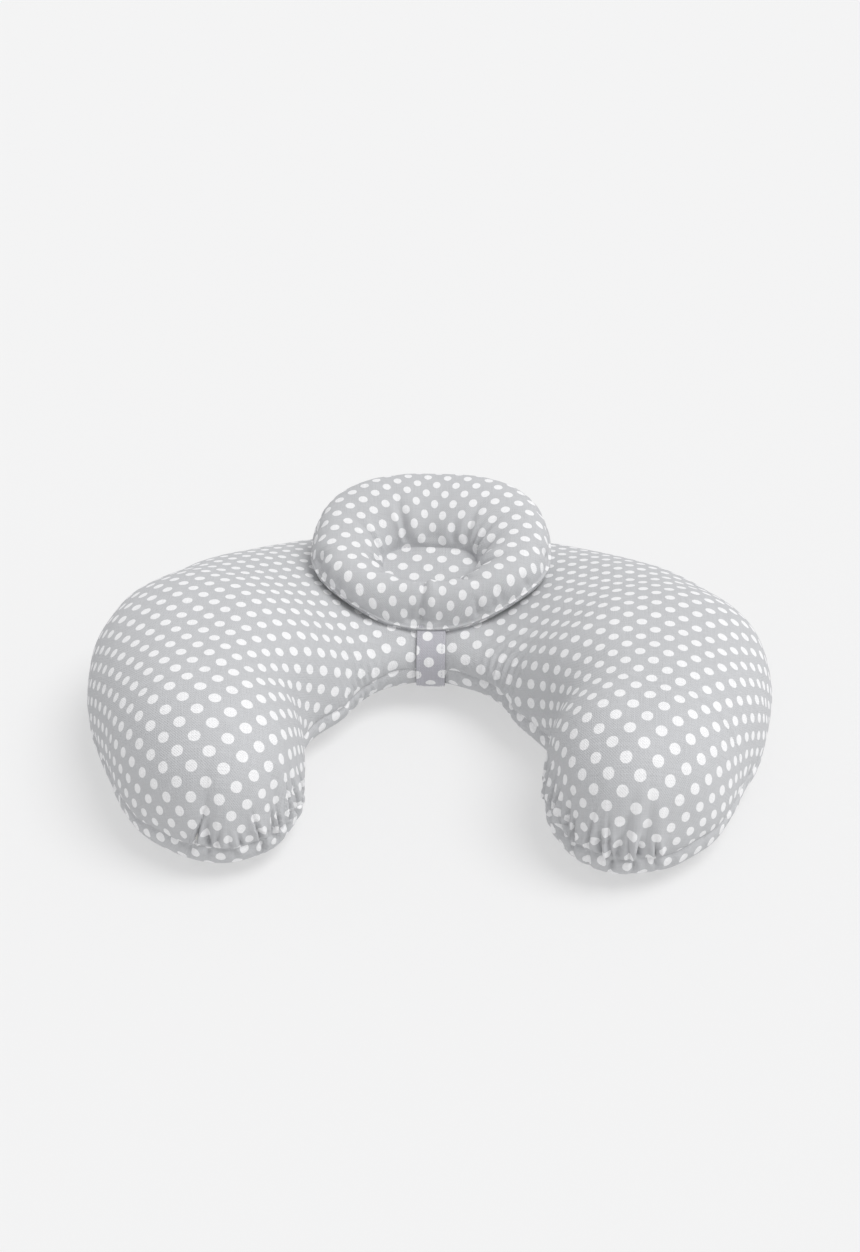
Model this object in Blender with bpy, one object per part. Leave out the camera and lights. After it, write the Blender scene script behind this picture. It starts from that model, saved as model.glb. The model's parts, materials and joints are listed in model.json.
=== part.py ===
"""Nursing pillow: a stuffed crescent in a zipped cover, with a newborn head cushion strapped over its back.

Metres, +Z up. The crescent's centreline is an arc about a vertical axis, open towards -Y.
"""

import math

import bmesh
import bpy
import numpy as np

# ---- driving sizes of the crescent -------------------------------------------------------------
ARC_RADIUS = 0.192          # crescent centreline, about the arc's vertical axis
TIP_ANGLE = 142.5           # from the middle of the back round to a tip, degrees
CAP_ANGLE = 34.0            # length of a tip's rounding, degrees
OUTER_HALF_WIDTH = 0.1155   # centreline to outer seam, back and arms
BACK_INNER_HALF_WIDTH = 0.109   # centreline to inner seam at the back
ARM_INNER_HALF_WIDTH = 0.1225   # the same at the fullest part of the arms
TIP_HALF_WIDTH = 0.078      # centreline to either seam where the tip's rounding starts
BACK_HEIGHT = 0.092
ARM_HEIGHT = 0.1305
SEAM_HEIGHT = 0.036         # cover seam above the floor
BACK_LIFT = 0.004           # the strapped back hangs this far clear of the floor
BACK_ANGLE = 42.0           # the back's section stays the same as far as this
FULL_ANGLE = 78.0           # the arms are at their full section from here
WAIST_ANGLE = 74.0          # the arms start to narrow here
NARROW_ANGLE = 115.0        # and have narrowed to the tip's width here
ROUNDNESS = 2.37            # exponent of the section's superellipse
CAP_PLAN = 2.1              # exponents of a tip's rounding, seen from above
CAP_RISE = 3.0              # and from the side
FLATTENING = 1.08           # how far the underside is pressed flat

# ---- fabric layers -----------------------------------------------------------------------------
COVER_WALL = 0.0010
CASE_WALL = 0.0007
LAYER_GAP = 0.0005
SEAM_GAP = 0.0003

# ---- head cushion ------------------------------------------------------------------------------
HEAD_HALF_WIDTH = 0.114
HEAD_HALF_DEPTH = 0.087
HEAD_CENTRE_Y = -0.012      # from the crescent's centreline
HEAD_SQUARENESS = 2.5
HEAD_WALL = 0.0010
HEAD_FILL_GAP = 0.0030      # between the panels and the fibre ring
HEAD_CLEARANCE = 0.0012     # from the crescent's crest
HINGE_FORWARD = 0.0015      # the cushion tips up about a line in front of its edge
HINGE_RISE = 0.010          # and above the crescent
HEAD_FRONT_RISE = 0.0055    # its seam above the crescent, at the front edge
HEAD_REAR_RISE = 0.046      # and at the rear edge
RING_TOP = 0.027            # ring of filling above its seam
RING_TOP_REAR_EXTRA = 0.004
RING_BOTTOM = 0.018
RING_BOTTOM_REAR_EXTRA = 0.022  # the ring is deeper at the rear, where it props the seam up
DISH_HALF_WIDTH = 0.044     # stitched-down middle
DISH_HALF_DEPTH = 0.032
DISH_CENTRE_Y = -0.029
DISH_THICKNESS = 0.004
DISH_RING = 0.55            # an inner ring of the dish, as a share of its outline
WADDING = 0.0012
WADDING_SHARE = 0.93        # the wadding's outline, as a share of the dish's

# ---- strap -------------------------------------------------------------------------------------
STRAP_WIDTH = 0.027
STRAP_THICKNESS = 0.0016
STRAP_CLEARANCE = 0.0010
STRAP_TOP_ANGLE = 152.0     # round the section, where it meets the head cushion's front edge
STRAP_END_ANGLE = 357.0     # and where it ends, just under the outer seam
FLAP_START_ANGLE = 2.0      # the rear flap starts just over the outer seam
FLAP_LEAVE_ANGLE = 38.0     # round the section, where the rear flap leaves the crescent
FLAP_TOP_RISE = 0.004       # above the head cushion's rear seam
PATCH_WIDTH = 0.022
FLAP_MARGIN = 0.002         # flap straight below the patches
PATCH_DROP = 0.010          # middle of the patches below the head cushion's rear seam
PATCH_HEIGHT = 0.022
PATCH_THICKNESS = 0.0009

# ---- zip ---------------------------------------------------------------------------------------
ZIP_START_ANGLE = -23.0
ZIP_END_ANGLE = -73.0
TAPE_HEIGHT = 0.0085
TAPE_THICKNESS = 0.0008
TEETH_HEIGHT = 0.0020
TEETH_DEPTH = 0.0016
ZIP_GAP = 0.0004
SLIDER_LENGTH = 0.011
SLIDER_WALL = 0.0012
TAB_LENGTH = 0.020
TAB_WIDTH = 0.0066
TAB_THICKNESS = 0.0010
TAB_BAR = 0.0013            # the tab's cross bar, under the slider's arch
SLOT_WIDTH = 0.0028
STOP_CORNER = 0.0006
ARCH_SINK = 0.0005          # the arch's feet go into the slider
SLOT_LENGTH = 0.0036
ARCH_WIRE = 0.0011
ARCH_REACH = 0.0030         # free length under the slider's arch
STOP_LENGTH = 0.0030

# ---- label -------------------------------------------------------------------------------------
LABEL_ANGLE = 46.0
LABEL_WIDTH = 0.020
LABEL_HEIGHT = 0.022
LABEL_THICKNESS = 0.0006
LABEL_CORNER = 0.0008
LABEL_TUCK = 0.002          # below its middle line, into the seam

# ---- mesh fineness -----------------------------------------------------------------------------
STEPS_ROUND_HALF = 9
BACK_STEPS = 26
CAP_STEPS = 7
HEAD_STEPS_ROUND = 32
RING_STEPS = 6

# ---- worked out from the above -----------------------------------------------------------------
BACK_CROWN = BACK_HEIGHT - SEAM_HEIGHT
FRONT_Y = HEAD_CENTRE_Y - HEAD_HALF_DEPTH
REAR_Y = HEAD_CENTRE_Y + HEAD_HALF_DEPTH
OUTER_SEAM_RADIUS = ARC_RADIUS + OUTER_HALF_WIDTH


def smooth(value, low, high):
    """0 below low, 1 above high, an S curve between."""
    t = np.clip((value - low) / (high - low), 0.0, 1.0)
    return t * t * (3.0 - 2.0 * t)


def place(angle_deg, radius):
    """Plan position at an angle from the middle of the back, at a radius from the arc's axis."""
    a = np.radians(angle_deg)
    return radius * np.sin(a), radius * np.cos(a) - ARC_RADIUS


# ---- scene and mesh helpers --------------------------------------------------------------------
def clear_scene():
    for obj in list(bpy.data.objects):
        bpy.data.objects.remove(obj, do_unlink=True)


def material(name, colour, roughness, metallic=0.0):
    made = bpy.data.materials.get(name)
    if made is None:
        made = bpy.data.materials.new(name)
        made.use_nodes = True
        shader = made.node_tree.nodes["Principled BSDF"]
        shader.inputs["Base Color"].default_value = (*colour, 1.0)
        shader.inputs["Roughness"].default_value = roughness
        shader.inputs["Metallic"].default_value = metallic
        made.diffuse_color = (*colour, 1.0)
    return made


def add_object(name, verts, faces, mat, pivot=(0.0, 0.0, 0.0)):
    """One closed body as an object whose origin is the pivot; verts are in the part's own frame."""
    mesh = bpy.data.meshes.new(name)
    shift = np.array([0.0, origin_shift(), 0.0])
    origin = np.asarray(pivot, float) + (shift if any(pivot) else 0.0)
    points = np.asarray(verts, float) + shift - origin
    mesh.from_pydata(points.tolist(), [], faces)
    bm = bmesh.new()
    bm.from_mesh(mesh)
    bmesh.ops.recalc_face_normals(bm, faces=bm.faces)
    bm.to_mesh(mesh)
    bm.free()
    mesh.shade_smooth()
    mesh.set_sharp_from_angle(angle=math.radians(40.0))
    mesh.materials.append(mat)
    obj = bpy.data.objects.new(name, mesh)
    obj.location = origin
    bpy.context.scene.collection.objects.link(obj)
    return obj


def grid_faces(rows, columns, start=0, closed=False):
    """Triangles of a rows by columns grid, all split the same way so that nested layers stay apart;
    closed joins the last column to the first."""
    faces = []
    for r in range(rows - 1):
        for c in range(columns if closed else columns - 1):
            d = (c + 1) % columns
            a = start + r * columns
            b = a + columns
            faces.append((a + c, a + d, b + d))
            faces.append((a + c, b + d, b + c))
    return faces


def prism(name, outline, low, high, mat, place_point, pivot=(0.0, 0.0, 0.0)):
    """A flat outline carried between two depths; place_point puts (u, v, depth) into the part."""
    count = len(outline)
    verts = [place_point(u, v, low) for u, v in outline] + [place_point(u, v, high) for u, v in outline]
    faces = [tuple(range(count)), tuple(range(2 * count - 1, count - 1, -1))]
    faces += [(i, (i + 1) % count, count + (i + 1) % count, count + i) for i in range(count)]
    return add_object(name, verts, faces, mat, pivot)


def rounded_rectangle(width, height, radius, steps=3):
    """Outline points of a rectangle with round corners, centred on zero."""
    points = []
    for corner in range(4):
        cx = (width / 2 - radius) * (1 if corner in (0, 3) else -1)
        cy = (height / 2 - radius) * (1 if corner in (0, 1) else -1)
        for k in range(steps + 1):
            a = math.radians(90.0 * corner + 90.0 * k / steps)
            points.append((cx + radius * math.cos(a), cy + radius * math.sin(a)))
    return points


# ---- the crescent's section --------------------------------------------------------------------
def half_widths(angle, inset):
    """Centreline to outer and inner seam at an angle, before the tip's rounding."""
    to_tip = smooth(angle, WAIST_ANGLE, NARROW_ANGLE)
    to_arm = smooth(angle, BACK_ANGLE, FULL_ANGLE)
    inner = BACK_INNER_HALF_WIDTH + (ARM_INNER_HALF_WIDTH - BACK_INNER_HALF_WIDTH) * to_arm
    outer = OUTER_HALF_WIDTH + (TIP_HALF_WIDTH - OUTER_HALF_WIDTH) * to_tip
    inner = inner + (TIP_HALF_WIDTH - inner) * to_tip
    return outer - inset, inner - inset


def section_point(angle, round_deg, cap, inset):
    """Radius from the arc's axis and height of the section's point at round_deg (0 is the outer
    seam, 90 the crest, 180 the inner seam, 270 the underside); cap runs 0 to 1 over a tip."""
    outer, inner = half_widths(angle, inset)
    height = BACK_HEIGHT + (ARM_HEIGHT - BACK_HEIGHT) * smooth(angle, BACK_ANGLE, FULL_ANGLE)
    lift = BACK_LIFT * (1.0 - smooth(angle, BACK_ANGLE, FULL_ANGLE))
    across = math.cos(math.radians(round_deg))
    up = math.sin(math.radians(round_deg))
    power = 2.0 / ROUNDNESS
    wide = (1.0 - cap ** CAP_PLAN) ** (1.0 / CAP_PLAN)
    tall = (1.0 - cap ** CAP_RISE) ** (1.0 / CAP_RISE)
    half = (outer if across > 0 else inner) * wide
    radius = ARC_RADIUS + math.copysign(abs(across) ** power, across) * half
    if up >= 0:
        z = SEAM_HEIGHT + (height - SEAM_HEIGHT - inset) * tall * up ** power
    else:
        press = min(1.0, FLATTENING * tall * abs(up) ** power)
        z = SEAM_HEIGHT - (SEAM_HEIGHT - lift - inset) * press
    return radius, z


def crest_height(radius):
    """Height of the crescent's upper surface over its back, at a radius from the arc's axis."""
    half = np.where(radius > ARC_RADIUS, OUTER_HALF_WIDTH, BACK_INNER_HALF_WIDTH)
    share = np.clip(np.abs(radius - ARC_RADIUS) / half, 0.0, 1.0)
    return SEAM_HEIGHT + BACK_CROWN * (1.0 - share ** ROUNDNESS) ** (1.0 / ROUNDNESS)


def stations(inset):
    """Angles along the crescent with their cap values, from just inside one tip to the other."""
    tip = TIP_ANGLE - math.degrees(inset / ARC_RADIUS)
    start = TIP_ANGLE - CAP_ANGLE
    rows = [(-start + 2.0 * start * i / BACK_STEPS, 0.0) for i in range(BACK_STEPS + 1)]
    for i in range(1, CAP_STEPS):
        cap = math.sin(math.radians(90.0 * i / CAP_STEPS))
        angle = start + (tip - start) * cap
        rows.append((angle, cap))
        rows.insert(0, (-angle, cap))
    return rows, tip


def origin_shift():
    """How far the part moves along Y so that the middle of its box is on the Z axis."""
    front = min(place(a, section_point(abs(a), 0.0, cap, 0.0)[0])[1] for a, cap in stations(0.0)[0])
    rear = OUTER_HALF_WIDTH + STRAP_CLEARANCE + STRAP_THICKNESS
    return -(front + rear) / 2.0


def crescent_surface(round_list, inset, raise_z=0.0):
    """Vertices of the section swept from tip to tip, then the two tips' pole points."""
    rows, tip = stations(inset)
    verts = []
    for angle, cap in rows:
        for round_deg in round_list:
            radius, z = section_point(abs(angle), round_deg, cap, inset)
            x, y = place(angle, radius)
            verts.append((x, y, z + raise_z))
    for angle in (-tip, tip):
        x, y = place(angle, ARC_RADIUS)
        verts.append((x, y, SEAM_HEIGHT + raise_z))
    return verts, len(rows)


def fans(rows, columns, start, closed=False):
    """Triangles that close a swept grid onto its two pole points."""
    first_pole = start + rows * columns
    last = start + (rows - 1) * columns
    faces = []
    for c in range(columns if closed else columns - 1):
        d = (c + 1) % columns
        faces.append((first_pole, start + d, start + c))
        faces.append((first_pole + 1, last + c, last + d))
    return faces


def crescent_shell(name, round_list, inset, wall, mat, raise_z=0.0):
    """Half of a crescent-shaped bag: an outer and an inner skin, joined along both seams."""
    outer, rows = crescent_surface(round_list, inset, raise_z)
    inner, _ = crescent_surface(round_list, inset + wall, raise_z)
    columns = len(round_list)
    offset = len(outer)
    faces = grid_faces(rows, columns) + fans(rows, columns, 0)
    faces += [tuple(reversed(f)) for f in grid_faces(rows, columns, offset) + fans(rows, columns, offset)]
    for c in (0, columns - 1):
        edge = [rows * columns] + [r * columns + c for r in range(rows)] + [rows * columns + 1]
        for a, b in zip(edge[:-1], edge[1:]):
            quad = (a, b, b + offset, a + offset)
            faces.append(quad if c == 0 else tuple(reversed(quad)))
    return add_object(name, outer + inner, faces, mat)


def make_crescent(cotton, lining, fibre):
    step = 180.0 / STEPS_ROUND_HALF
    upper = [step * k for k in range(STEPS_ROUND_HALF + 1)]
    lower = [180.0 + step * k for k in range(STEPS_ROUND_HALF + 1)]
    case_inset = COVER_WALL + LAYER_GAP
    fill_inset = case_inset + CASE_WALL + LAYER_GAP
    crescent_shell("cover_top_panel", upper, 0.0, COVER_WALL, cotton, SEAM_GAP)
    crescent_shell("cover_bottom_panel", lower, 0.0, COVER_WALL, cotton)
    crescent_shell("inner_case_upper", upper, case_inset, CASE_WALL, lining, SEAM_GAP)
    crescent_shell("inner_case_lower", lower, case_inset, CASE_WALL, lining)
    around = upper[:-1] + lower[:-1]
    verts, rows = crescent_surface(around, fill_inset)
    faces = grid_faces(rows, len(around), 0, True) + fans(rows, len(around), 0, True)
    add_object("fibre_filling", verts, faces, fibre)


# ---- head cushion ------------------------------------------------------------------------------
def seam_surface(x, y):
    """Height of the head cushion's seam and middle sheet: it follows the crest and climbs rearward."""
    crest = crest_height(np.hypot(x, y + ARC_RADIUS))
    back = (y - FRONT_Y) / (REAR_Y - FRONT_Y)
    return crest + HEAD_FRONT_RISE + (HEAD_REAR_RISE - HEAD_FRONT_RISE) * back * back


def head_rings(inset):
    """Plan rings from the dish's middle out to the seam: for each, ring share q (0 inside the dish
    edge, 1 at the seam) and x, y arrays. inset pulls the ring of filling in from both its edges."""
    turn = np.arange(HEAD_STEPS_ROUND) * 2.0 * math.pi / HEAD_STEPS_ROUND
    power = 2.0 / HEAD_SQUARENESS
    cx = np.sign(np.cos(turn)) * np.abs(np.cos(turn)) ** power
    cy = np.sign(np.sin(turn)) * np.abs(np.sin(turn)) ** power
    dish = np.stack([DISH_HALF_WIDTH * cx, DISH_CENTRE_Y + DISH_HALF_DEPTH * cy])
    seam = np.stack([HEAD_HALF_WIDTH * cx, HEAD_CENTRE_Y + HEAD_HALF_DEPTH * cy])
    span = np.hypot(*(seam - dish))
    middle = np.array([[0.0], [DISH_CENTRE_Y]])
    rings = [(0.0, middle + DISH_RING * (dish - middle))]
    for k in range(RING_STEPS + 1):
        q = 0.5 - 0.5 * math.cos(math.pi * k / RING_STEPS)
        share = 0.5 + (q - 0.5) * (1.0 - 2.0 * inset / span)
        rings.append((q, dish + share * (seam - dish)))
    return rings


def head_surface(side, inset):
    """Vertices of one face of the head cushion (side 1 is the top, -1 the underside), or of a layer
    inset below it. The underside is pressed onto the crescent's crest."""
    verts = []
    for q, (x, y) in head_rings(inset):
        seam = seam_surface(x, y)
        arch = math.sqrt(max(0.0, 1.0 - (2.0 * q - 1.0) ** 2))
        sheet = DISH_THICKNESS / 2 * (1.0 - q) + SEAM_GAP / 2 * q
        back = (y - FRONT_Y) / (REAR_Y - FRONT_Y)
        if side > 0:
            bulge = (RING_TOP + RING_TOP_REAR_EXTRA * back) * arch + sheet
        else:
            room = seam - crest_height(np.hypot(x, y + ARC_RADIUS)) - HEAD_CLEARANCE
            depth = RING_BOTTOM + RING_BOTTOM_REAR_EXTRA * back
            bulge = np.minimum(depth * arch + sheet, room)
        layer = inset * (1.0 if q < 0.5 else arch)
        z = seam + side * (bulge - layer)
        verts += list(zip(x.tolist(), y.tolist(), z.tolist()))
    z0 = float(seam_surface(0.0, DISH_CENTRE_Y)) + side * (DISH_THICKNESS / 2 - inset)
    verts.append((0.0, DISH_CENTRE_Y, z0))
    return verts


def disc_faces(rings, start):
    """Faces of nested rings, closed at the middle by a fan onto the vertex that follows them."""
    count = HEAD_STEPS_ROUND
    faces = grid_faces(rings, count, start, True)
    middle = start + rings * count
    faces += [(middle, start + (c + 1) % count, start + c) for c in range(count)]
    return faces


def head_panel(name, side, mat):
    rings = RING_STEPS + 2
    outer = head_surface(side, 0.0)
    inner = head_surface(side, HEAD_WALL)
    offset = len(outer)
    faces = disc_faces(rings, 0) + [tuple(reversed(f)) for f in disc_faces(rings, offset)]
    edge = (rings - 1) * HEAD_STEPS_ROUND
    for c in range(HEAD_STEPS_ROUND):
        a, b = edge + c, edge + (c + 1) % HEAD_STEPS_ROUND
        faces.append((a, b, b + offset, a + offset))
    add_object(name, outer + inner, faces, mat, HEAD_PIVOT)


def head_ring(mat):
    """The fibre ring between the panels, open in the middle where they are stitched together."""
    inset = HEAD_WALL + HEAD_FILL_GAP
    count = HEAD_STEPS_ROUND
    top = np.array(head_surface(1, inset))[count:-1]
    under = np.array(head_surface(-1, inset))[count:-1]
    rings = RING_STEPS + 1
    verts = top.tolist() + under[count:-count].tolist()
    loop = list(range(rings)) + [rings + k for k in range(rings - 3, -1, -1)]
    faces = []
    for k, ring in enumerate(loop):
        following = loop[(k + 1) % len(loop)]
        for c in range(count):
            d = (c + 1) % count
            a, b = ring * count, following * count
            faces.append((a + c, a + d, b + d))
            faces.append((a + c, b + d, b + c))
    add_object("head_filling_ring", verts, faces, mat, HEAD_PIVOT)


def head_wadding(mat):
    """The thin wadding disc held between the panels under the stitched-down middle."""
    turn = np.arange(HEAD_STEPS_ROUND) * 2.0 * math.pi / HEAD_STEPS_ROUND
    shrink = WADDING_SHARE
    verts = []
    for side in (-1, 1):
        for ring in (1.0, 0.5):
            x = shrink * ring * DISH_HALF_WIDTH * np.cos(turn)
            y = DISH_CENTRE_Y + shrink * ring * DISH_HALF_DEPTH * np.sin(turn)
            z = seam_surface(x, y) + side * WADDING / 2
            verts += list(zip(x.tolist(), y.tolist(), z.tolist()))
        verts.append((0.0, DISH_CENTRE_Y, float(seam_surface(0.0, DISH_CENTRE_Y)) + side * WADDING / 2))
    count = HEAD_STEPS_ROUND
    offset = 2 * count + 1
    faces = []
    for start in (0, offset):
        for c in range(count):
            d = (c + 1) % count
            faces.append((start + c, start + d, start + count + d, start + count + c))
            faces.append((start + 2 * count, start + count + c, start + count + d))
    faces += [(c, (c + 1) % count, offset + (c + 1) % count, offset + c) for c in range(count)]
    add_object("head_centre_wadding", verts, faces, mat, HEAD_PIVOT)


# ---- strap and its closure ---------------------------------------------------------------------
def section_outline(round_deg, outset):
    """Radius and height at a distance outside the back's section, along its own normal."""
    step = 0.5
    before = np.array(section_point(0.0, round_deg - step, 0.0, 0.0))
    after = np.array(section_point(0.0, round_deg + step, 0.0, 0.0))
    along = (after - before) / np.linalg.norm(after - before)
    normal = np.array([along[1], -along[0]])
    return np.array(section_point(0.0, round_deg, 0.0, 0.0)) + outset * normal


def band(name, inside, outside, width, mat, pivot):
    """A band between two (radius, height) paths; its sides are parallel, and it bends with the arc."""
    across = 5
    verts = []
    for path in (inside, outside):
        for radius, z in path:
            for k in range(across):
                x = width * (k / (across - 1) - 0.5)
                angle = math.degrees(math.asin(x / radius))
                px, py = place(angle, radius)
                verts.append((px, py, z))
    rows = len(inside)
    offset = rows * across
    faces = grid_faces(rows, across) + [tuple(reversed(f)) for f in grid_faces(rows, across, offset)]
    rim = list(range(across)) + [r * across + across - 1 for r in range(1, rows)]
    rim += [(rows - 1) * across + k for k in range(across - 2, -1, -1)]
    rim += [r * across for r in range(rows - 2, 0, -1)]
    for a, b in zip(rim, rim[1:] + rim[:1]):
        faces.append((a, b, b + offset, a + offset))
    add_object(name, verts, faces, mat, pivot)


def rear_line():
    """Radius of the head cushion's rear edge and height of its seam there."""
    return ARC_RADIUS + REAR_Y, float(seam_surface(0.0, REAR_Y))


def make_strap(cotton, hook, loop):
    turns = np.linspace(STRAP_TOP_ANGLE, STRAP_END_ANGLE, 19)
    near = [section_outline(t, STRAP_CLEARANCE) for t in turns]
    far = [section_outline(t, STRAP_CLEARANCE + STRAP_THICKNESS) for t in turns]
    band("strap_front_wrap", near, far, STRAP_WIDTH, cotton, ARC_PIVOT)

    rear_radius, rear_z = rear_line()
    patch_gap = SEAM_GAP
    loop_face = rear_radius + patch_gap
    hook_face = loop_face + PATCH_THICKNESS + patch_gap
    flap_face = hook_face + PATCH_THICKNESS + patch_gap
    top = rear_z + FLAP_TOP_RISE
    low = rear_z - PATCH_DROP - PATCH_HEIGHT / 2
    high = low + PATCH_HEIGHT
    leave = np.linspace(FLAP_START_ANGLE, FLAP_LEAVE_ANGLE, 6)
    near = [section_outline(t, STRAP_CLEARANCE) for t in leave]
    far = [section_outline(t, STRAP_CLEARANCE + STRAP_THICKNESS) for t in leave]
    heights = np.linspace(low - FLAP_MARGIN, top, 3)
    near += [np.array([flap_face, z]) for z in heights]
    far += [np.array([flap_face + STRAP_THICKNESS, z]) for z in heights]
    band("strap_rear_flap", near, far, STRAP_WIDTH, cotton, FLAP_PIVOT)

    for name, face, mat, pivot in (
        ("hook_patch", hook_face, hook, FLAP_PIVOT),
        ("loop_patch", loop_face, loop, HEAD_PIVOT),
    ):
        near = [np.array([face, z]) for z in (low, high)]
        far = [np.array([face + PATCH_THICKNESS, z]) for z in (low, high)]
        band(name, near, far, PATCH_WIDTH, mat, pivot)


# ---- zip along the outer seam ------------------------------------------------------------------
def seam_strip(name, radius, depth, z_low, z_high, mat, start=ZIP_START_ANGLE, end=ZIP_END_ANGLE, steps=18):
    """A strip that stands along the outer seam between two heights."""
    verts = []
    for angle in np.linspace(start, end, steps + 1):
        for r, z in ((radius, z_low), (radius + depth, z_low), (radius + depth, z_high), (radius, z_high)):
            x, y = place(angle, r)
            verts.append((x, y, z))
    faces = grid_faces(steps + 1, 4, 0, True)
    faces += [(3, 2, 1, 0), tuple(4 * steps + k for k in range(4))]
    add_object(name, verts, faces, mat)


def on_seam(angle):
    """Puts (along the seam, up, outward) offsets from a point on the outer seam into the part."""
    a = math.radians(angle)

    def point(along, up, out):
        radius = OUTER_SEAM_RADIUS + out
        x, y = radius * math.sin(a), radius * math.cos(a) - ARC_RADIUS
        return x + along * math.cos(a), y - along * math.sin(a), SEAM_HEIGHT + up

    return point


def make_zip(tape, teeth, metal):
    tape_out = ZIP_GAP
    teeth_out = tape_out + TAPE_THICKNESS + ZIP_GAP
    face_out = teeth_out + TEETH_DEPTH + ZIP_GAP
    base = OUTER_SEAM_RADIUS
    half_gap = ZIP_GAP / 2
    z0 = SEAM_HEIGHT
    seam_strip("zip_tape_upper", base + tape_out, TAPE_THICKNESS, z0 + half_gap, z0 + TAPE_HEIGHT, tape)
    seam_strip("zip_tape_lower", base + tape_out, TAPE_THICKNESS, z0 - TAPE_HEIGHT, z0 - half_gap, tape)
    stop_angle = math.degrees((STOP_LENGTH + 2 * ZIP_GAP) / base)
    ends = (ZIP_START_ANGLE - stop_angle, ZIP_END_ANGLE + stop_angle)
    for name, low, high in (
        ("zip_teeth_upper", half_gap, TEETH_HEIGHT),
        ("zip_teeth_lower", -TEETH_HEIGHT, -half_gap),
    ):
        seam_strip(name, base + teeth_out, TEETH_DEPTH, z0 + low, z0 + high, teeth, *ends)
    for name, angle, sign in (("zip_stop_start", ZIP_START_ANGLE, -1), ("zip_stop_end", ZIP_END_ANGLE, 1)):
        middle = angle + sign * math.degrees(STOP_LENGTH / 2 / base)
        outline = rounded_rectangle(STOP_LENGTH, 2 * TEETH_HEIGHT, STOP_CORNER)
        prism(name, outline, teeth_out, teeth_out + TEETH_DEPTH, metal, on_seam(middle))

    slider_angle = ZIP_START_ANGLE - math.degrees((STOP_LENGTH + 2 * ZIP_GAP + SLIDER_LENGTH / 2) / base)
    seat = on_seam(slider_angle)
    lip = TEETH_HEIGHT + ZIP_GAP
    rise = lip + SLIDER_WALL
    channel = [
        (-rise, teeth_out), (-rise, face_out + SLIDER_WALL), (rise, face_out + SLIDER_WALL),
        (rise, teeth_out), (lip, teeth_out), (lip, face_out), (-lip, face_out), (-lip, teeth_out),
    ]
    body = prism("zip_slider", channel, -SLIDER_LENGTH / 2, SLIDER_LENGTH / 2, metal,
                 lambda up, out, along: seat(along, up, out), ARC_PIVOT)
    loop_out = face_out + SLIDER_WALL
    add_pull_loop(body, seat, loop_out)

    tab_low = loop_out + ZIP_GAP
    pull_tab(lambda along, up, depth: seat(along, up, tab_low + depth), metal,
             seat(0.0, 0.0, tab_low + TAB_THICKNESS / 2))


def add_pull_loop(body, seat, loop_out):
    """Joins the slider's small arch, a bar on one foot, to its face by a Boolean union."""
    top = loop_out + ZIP_GAP + TAB_THICKNESS + ZIP_GAP
    outline = [
        (-ARCH_REACH / 2 - ARCH_WIRE, loop_out - ARCH_SINK), (-ARCH_REACH / 2 - ARCH_WIRE, top + ARCH_WIRE),
        (ARCH_REACH / 2 + ARCH_WIRE, top + ARCH_WIRE), (ARCH_REACH / 2 + ARCH_WIRE, loop_out - ARCH_SINK),
        (ARCH_REACH / 2, loop_out - ARCH_SINK), (ARCH_REACH / 2, top), (-ARCH_REACH / 2, top),
        (-ARCH_REACH / 2, loop_out - ARCH_SINK),
    ]
    arch = prism("slider_arch", outline, -ARCH_WIRE / 2, ARCH_WIRE / 2, body.data.materials[0],
                 lambda along, out, up: seat(along, up, out), ARC_PIVOT)
    arch.hide_render = True
    arch.display_type = "WIRE"
    union = body.modifiers.new("arch", "BOOLEAN")
    union.operation = "UNION"
    union.solver = "EXACT"
    union.object = arch


def pull_tab(point, metal, pivot):
    """A flat round-ended tab that lies along the zip. Its cross bar sits under the slider's arch, and
    the arch's rear foot stands in the slot behind the bar."""
    outer, inner = [], []
    for k in range(16):
        a = math.tau * (k + 0.5) / 16
        c, s = math.cos(a), math.sin(a)
        round_outer = TAB_BAR / 2 - TAB_WIDTH / 2 if c > 0 else TAB_BAR / 2 - TAB_LENGTH + TAB_WIDTH / 2
        round_inner = -TAB_BAR / 2 - SLOT_WIDTH / 2 if c > 0 else -TAB_BAR / 2 - SLOT_LENGTH + SLOT_WIDTH / 2
        outer.append((round_outer + c * TAB_WIDTH / 2, s * TAB_WIDTH / 2))
        inner.append((round_inner + c * SLOT_WIDTH / 2, s * SLOT_WIDTH / 2))
    verts = [point(u, v, d) for d in (0.0, TAB_THICKNESS) for ring in (outer, inner) for u, v in ring]
    faces = []
    for k in range(16):
        j = (k + 1) % 16
        faces.append((k, j, 16 + j, 16 + k))
        faces.append((32 + k, 48 + k, 48 + j, 32 + j))
        faces.append((k, 32 + k, 32 + j, j))
        faces.append((16 + k, 16 + j, 48 + j, 48 + k))
    add_object("zip_pull_tab", verts, faces, metal, pivot)


def make_label(satin):
    point = on_seam(LABEL_ANGLE)
    outline = rounded_rectangle(LABEL_WIDTH, LABEL_HEIGHT, LABEL_CORNER, 2)
    low = -LABEL_HEIGHT / 2 - LABEL_TUCK
    prism("care_label", outline, ZIP_GAP, ZIP_GAP + LABEL_THICKNESS, satin,
          lambda along, up, out: point(along, up + low, out))


# ---- joint axes --------------------------------------------------------------------------------
ARC_PIVOT = (0.0, -ARC_RADIUS, SEAM_HEIGHT)
HEAD_PIVOT = (0.0, FRONT_Y - HINGE_FORWARD, float(crest_height(ARC_RADIUS + FRONT_Y)) + HINGE_RISE)
FLAP_PIVOT = (0.0, OUTER_HALF_WIDTH + STRAP_CLEARANCE + STRAP_THICKNESS / 2, SEAM_HEIGHT)


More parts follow.
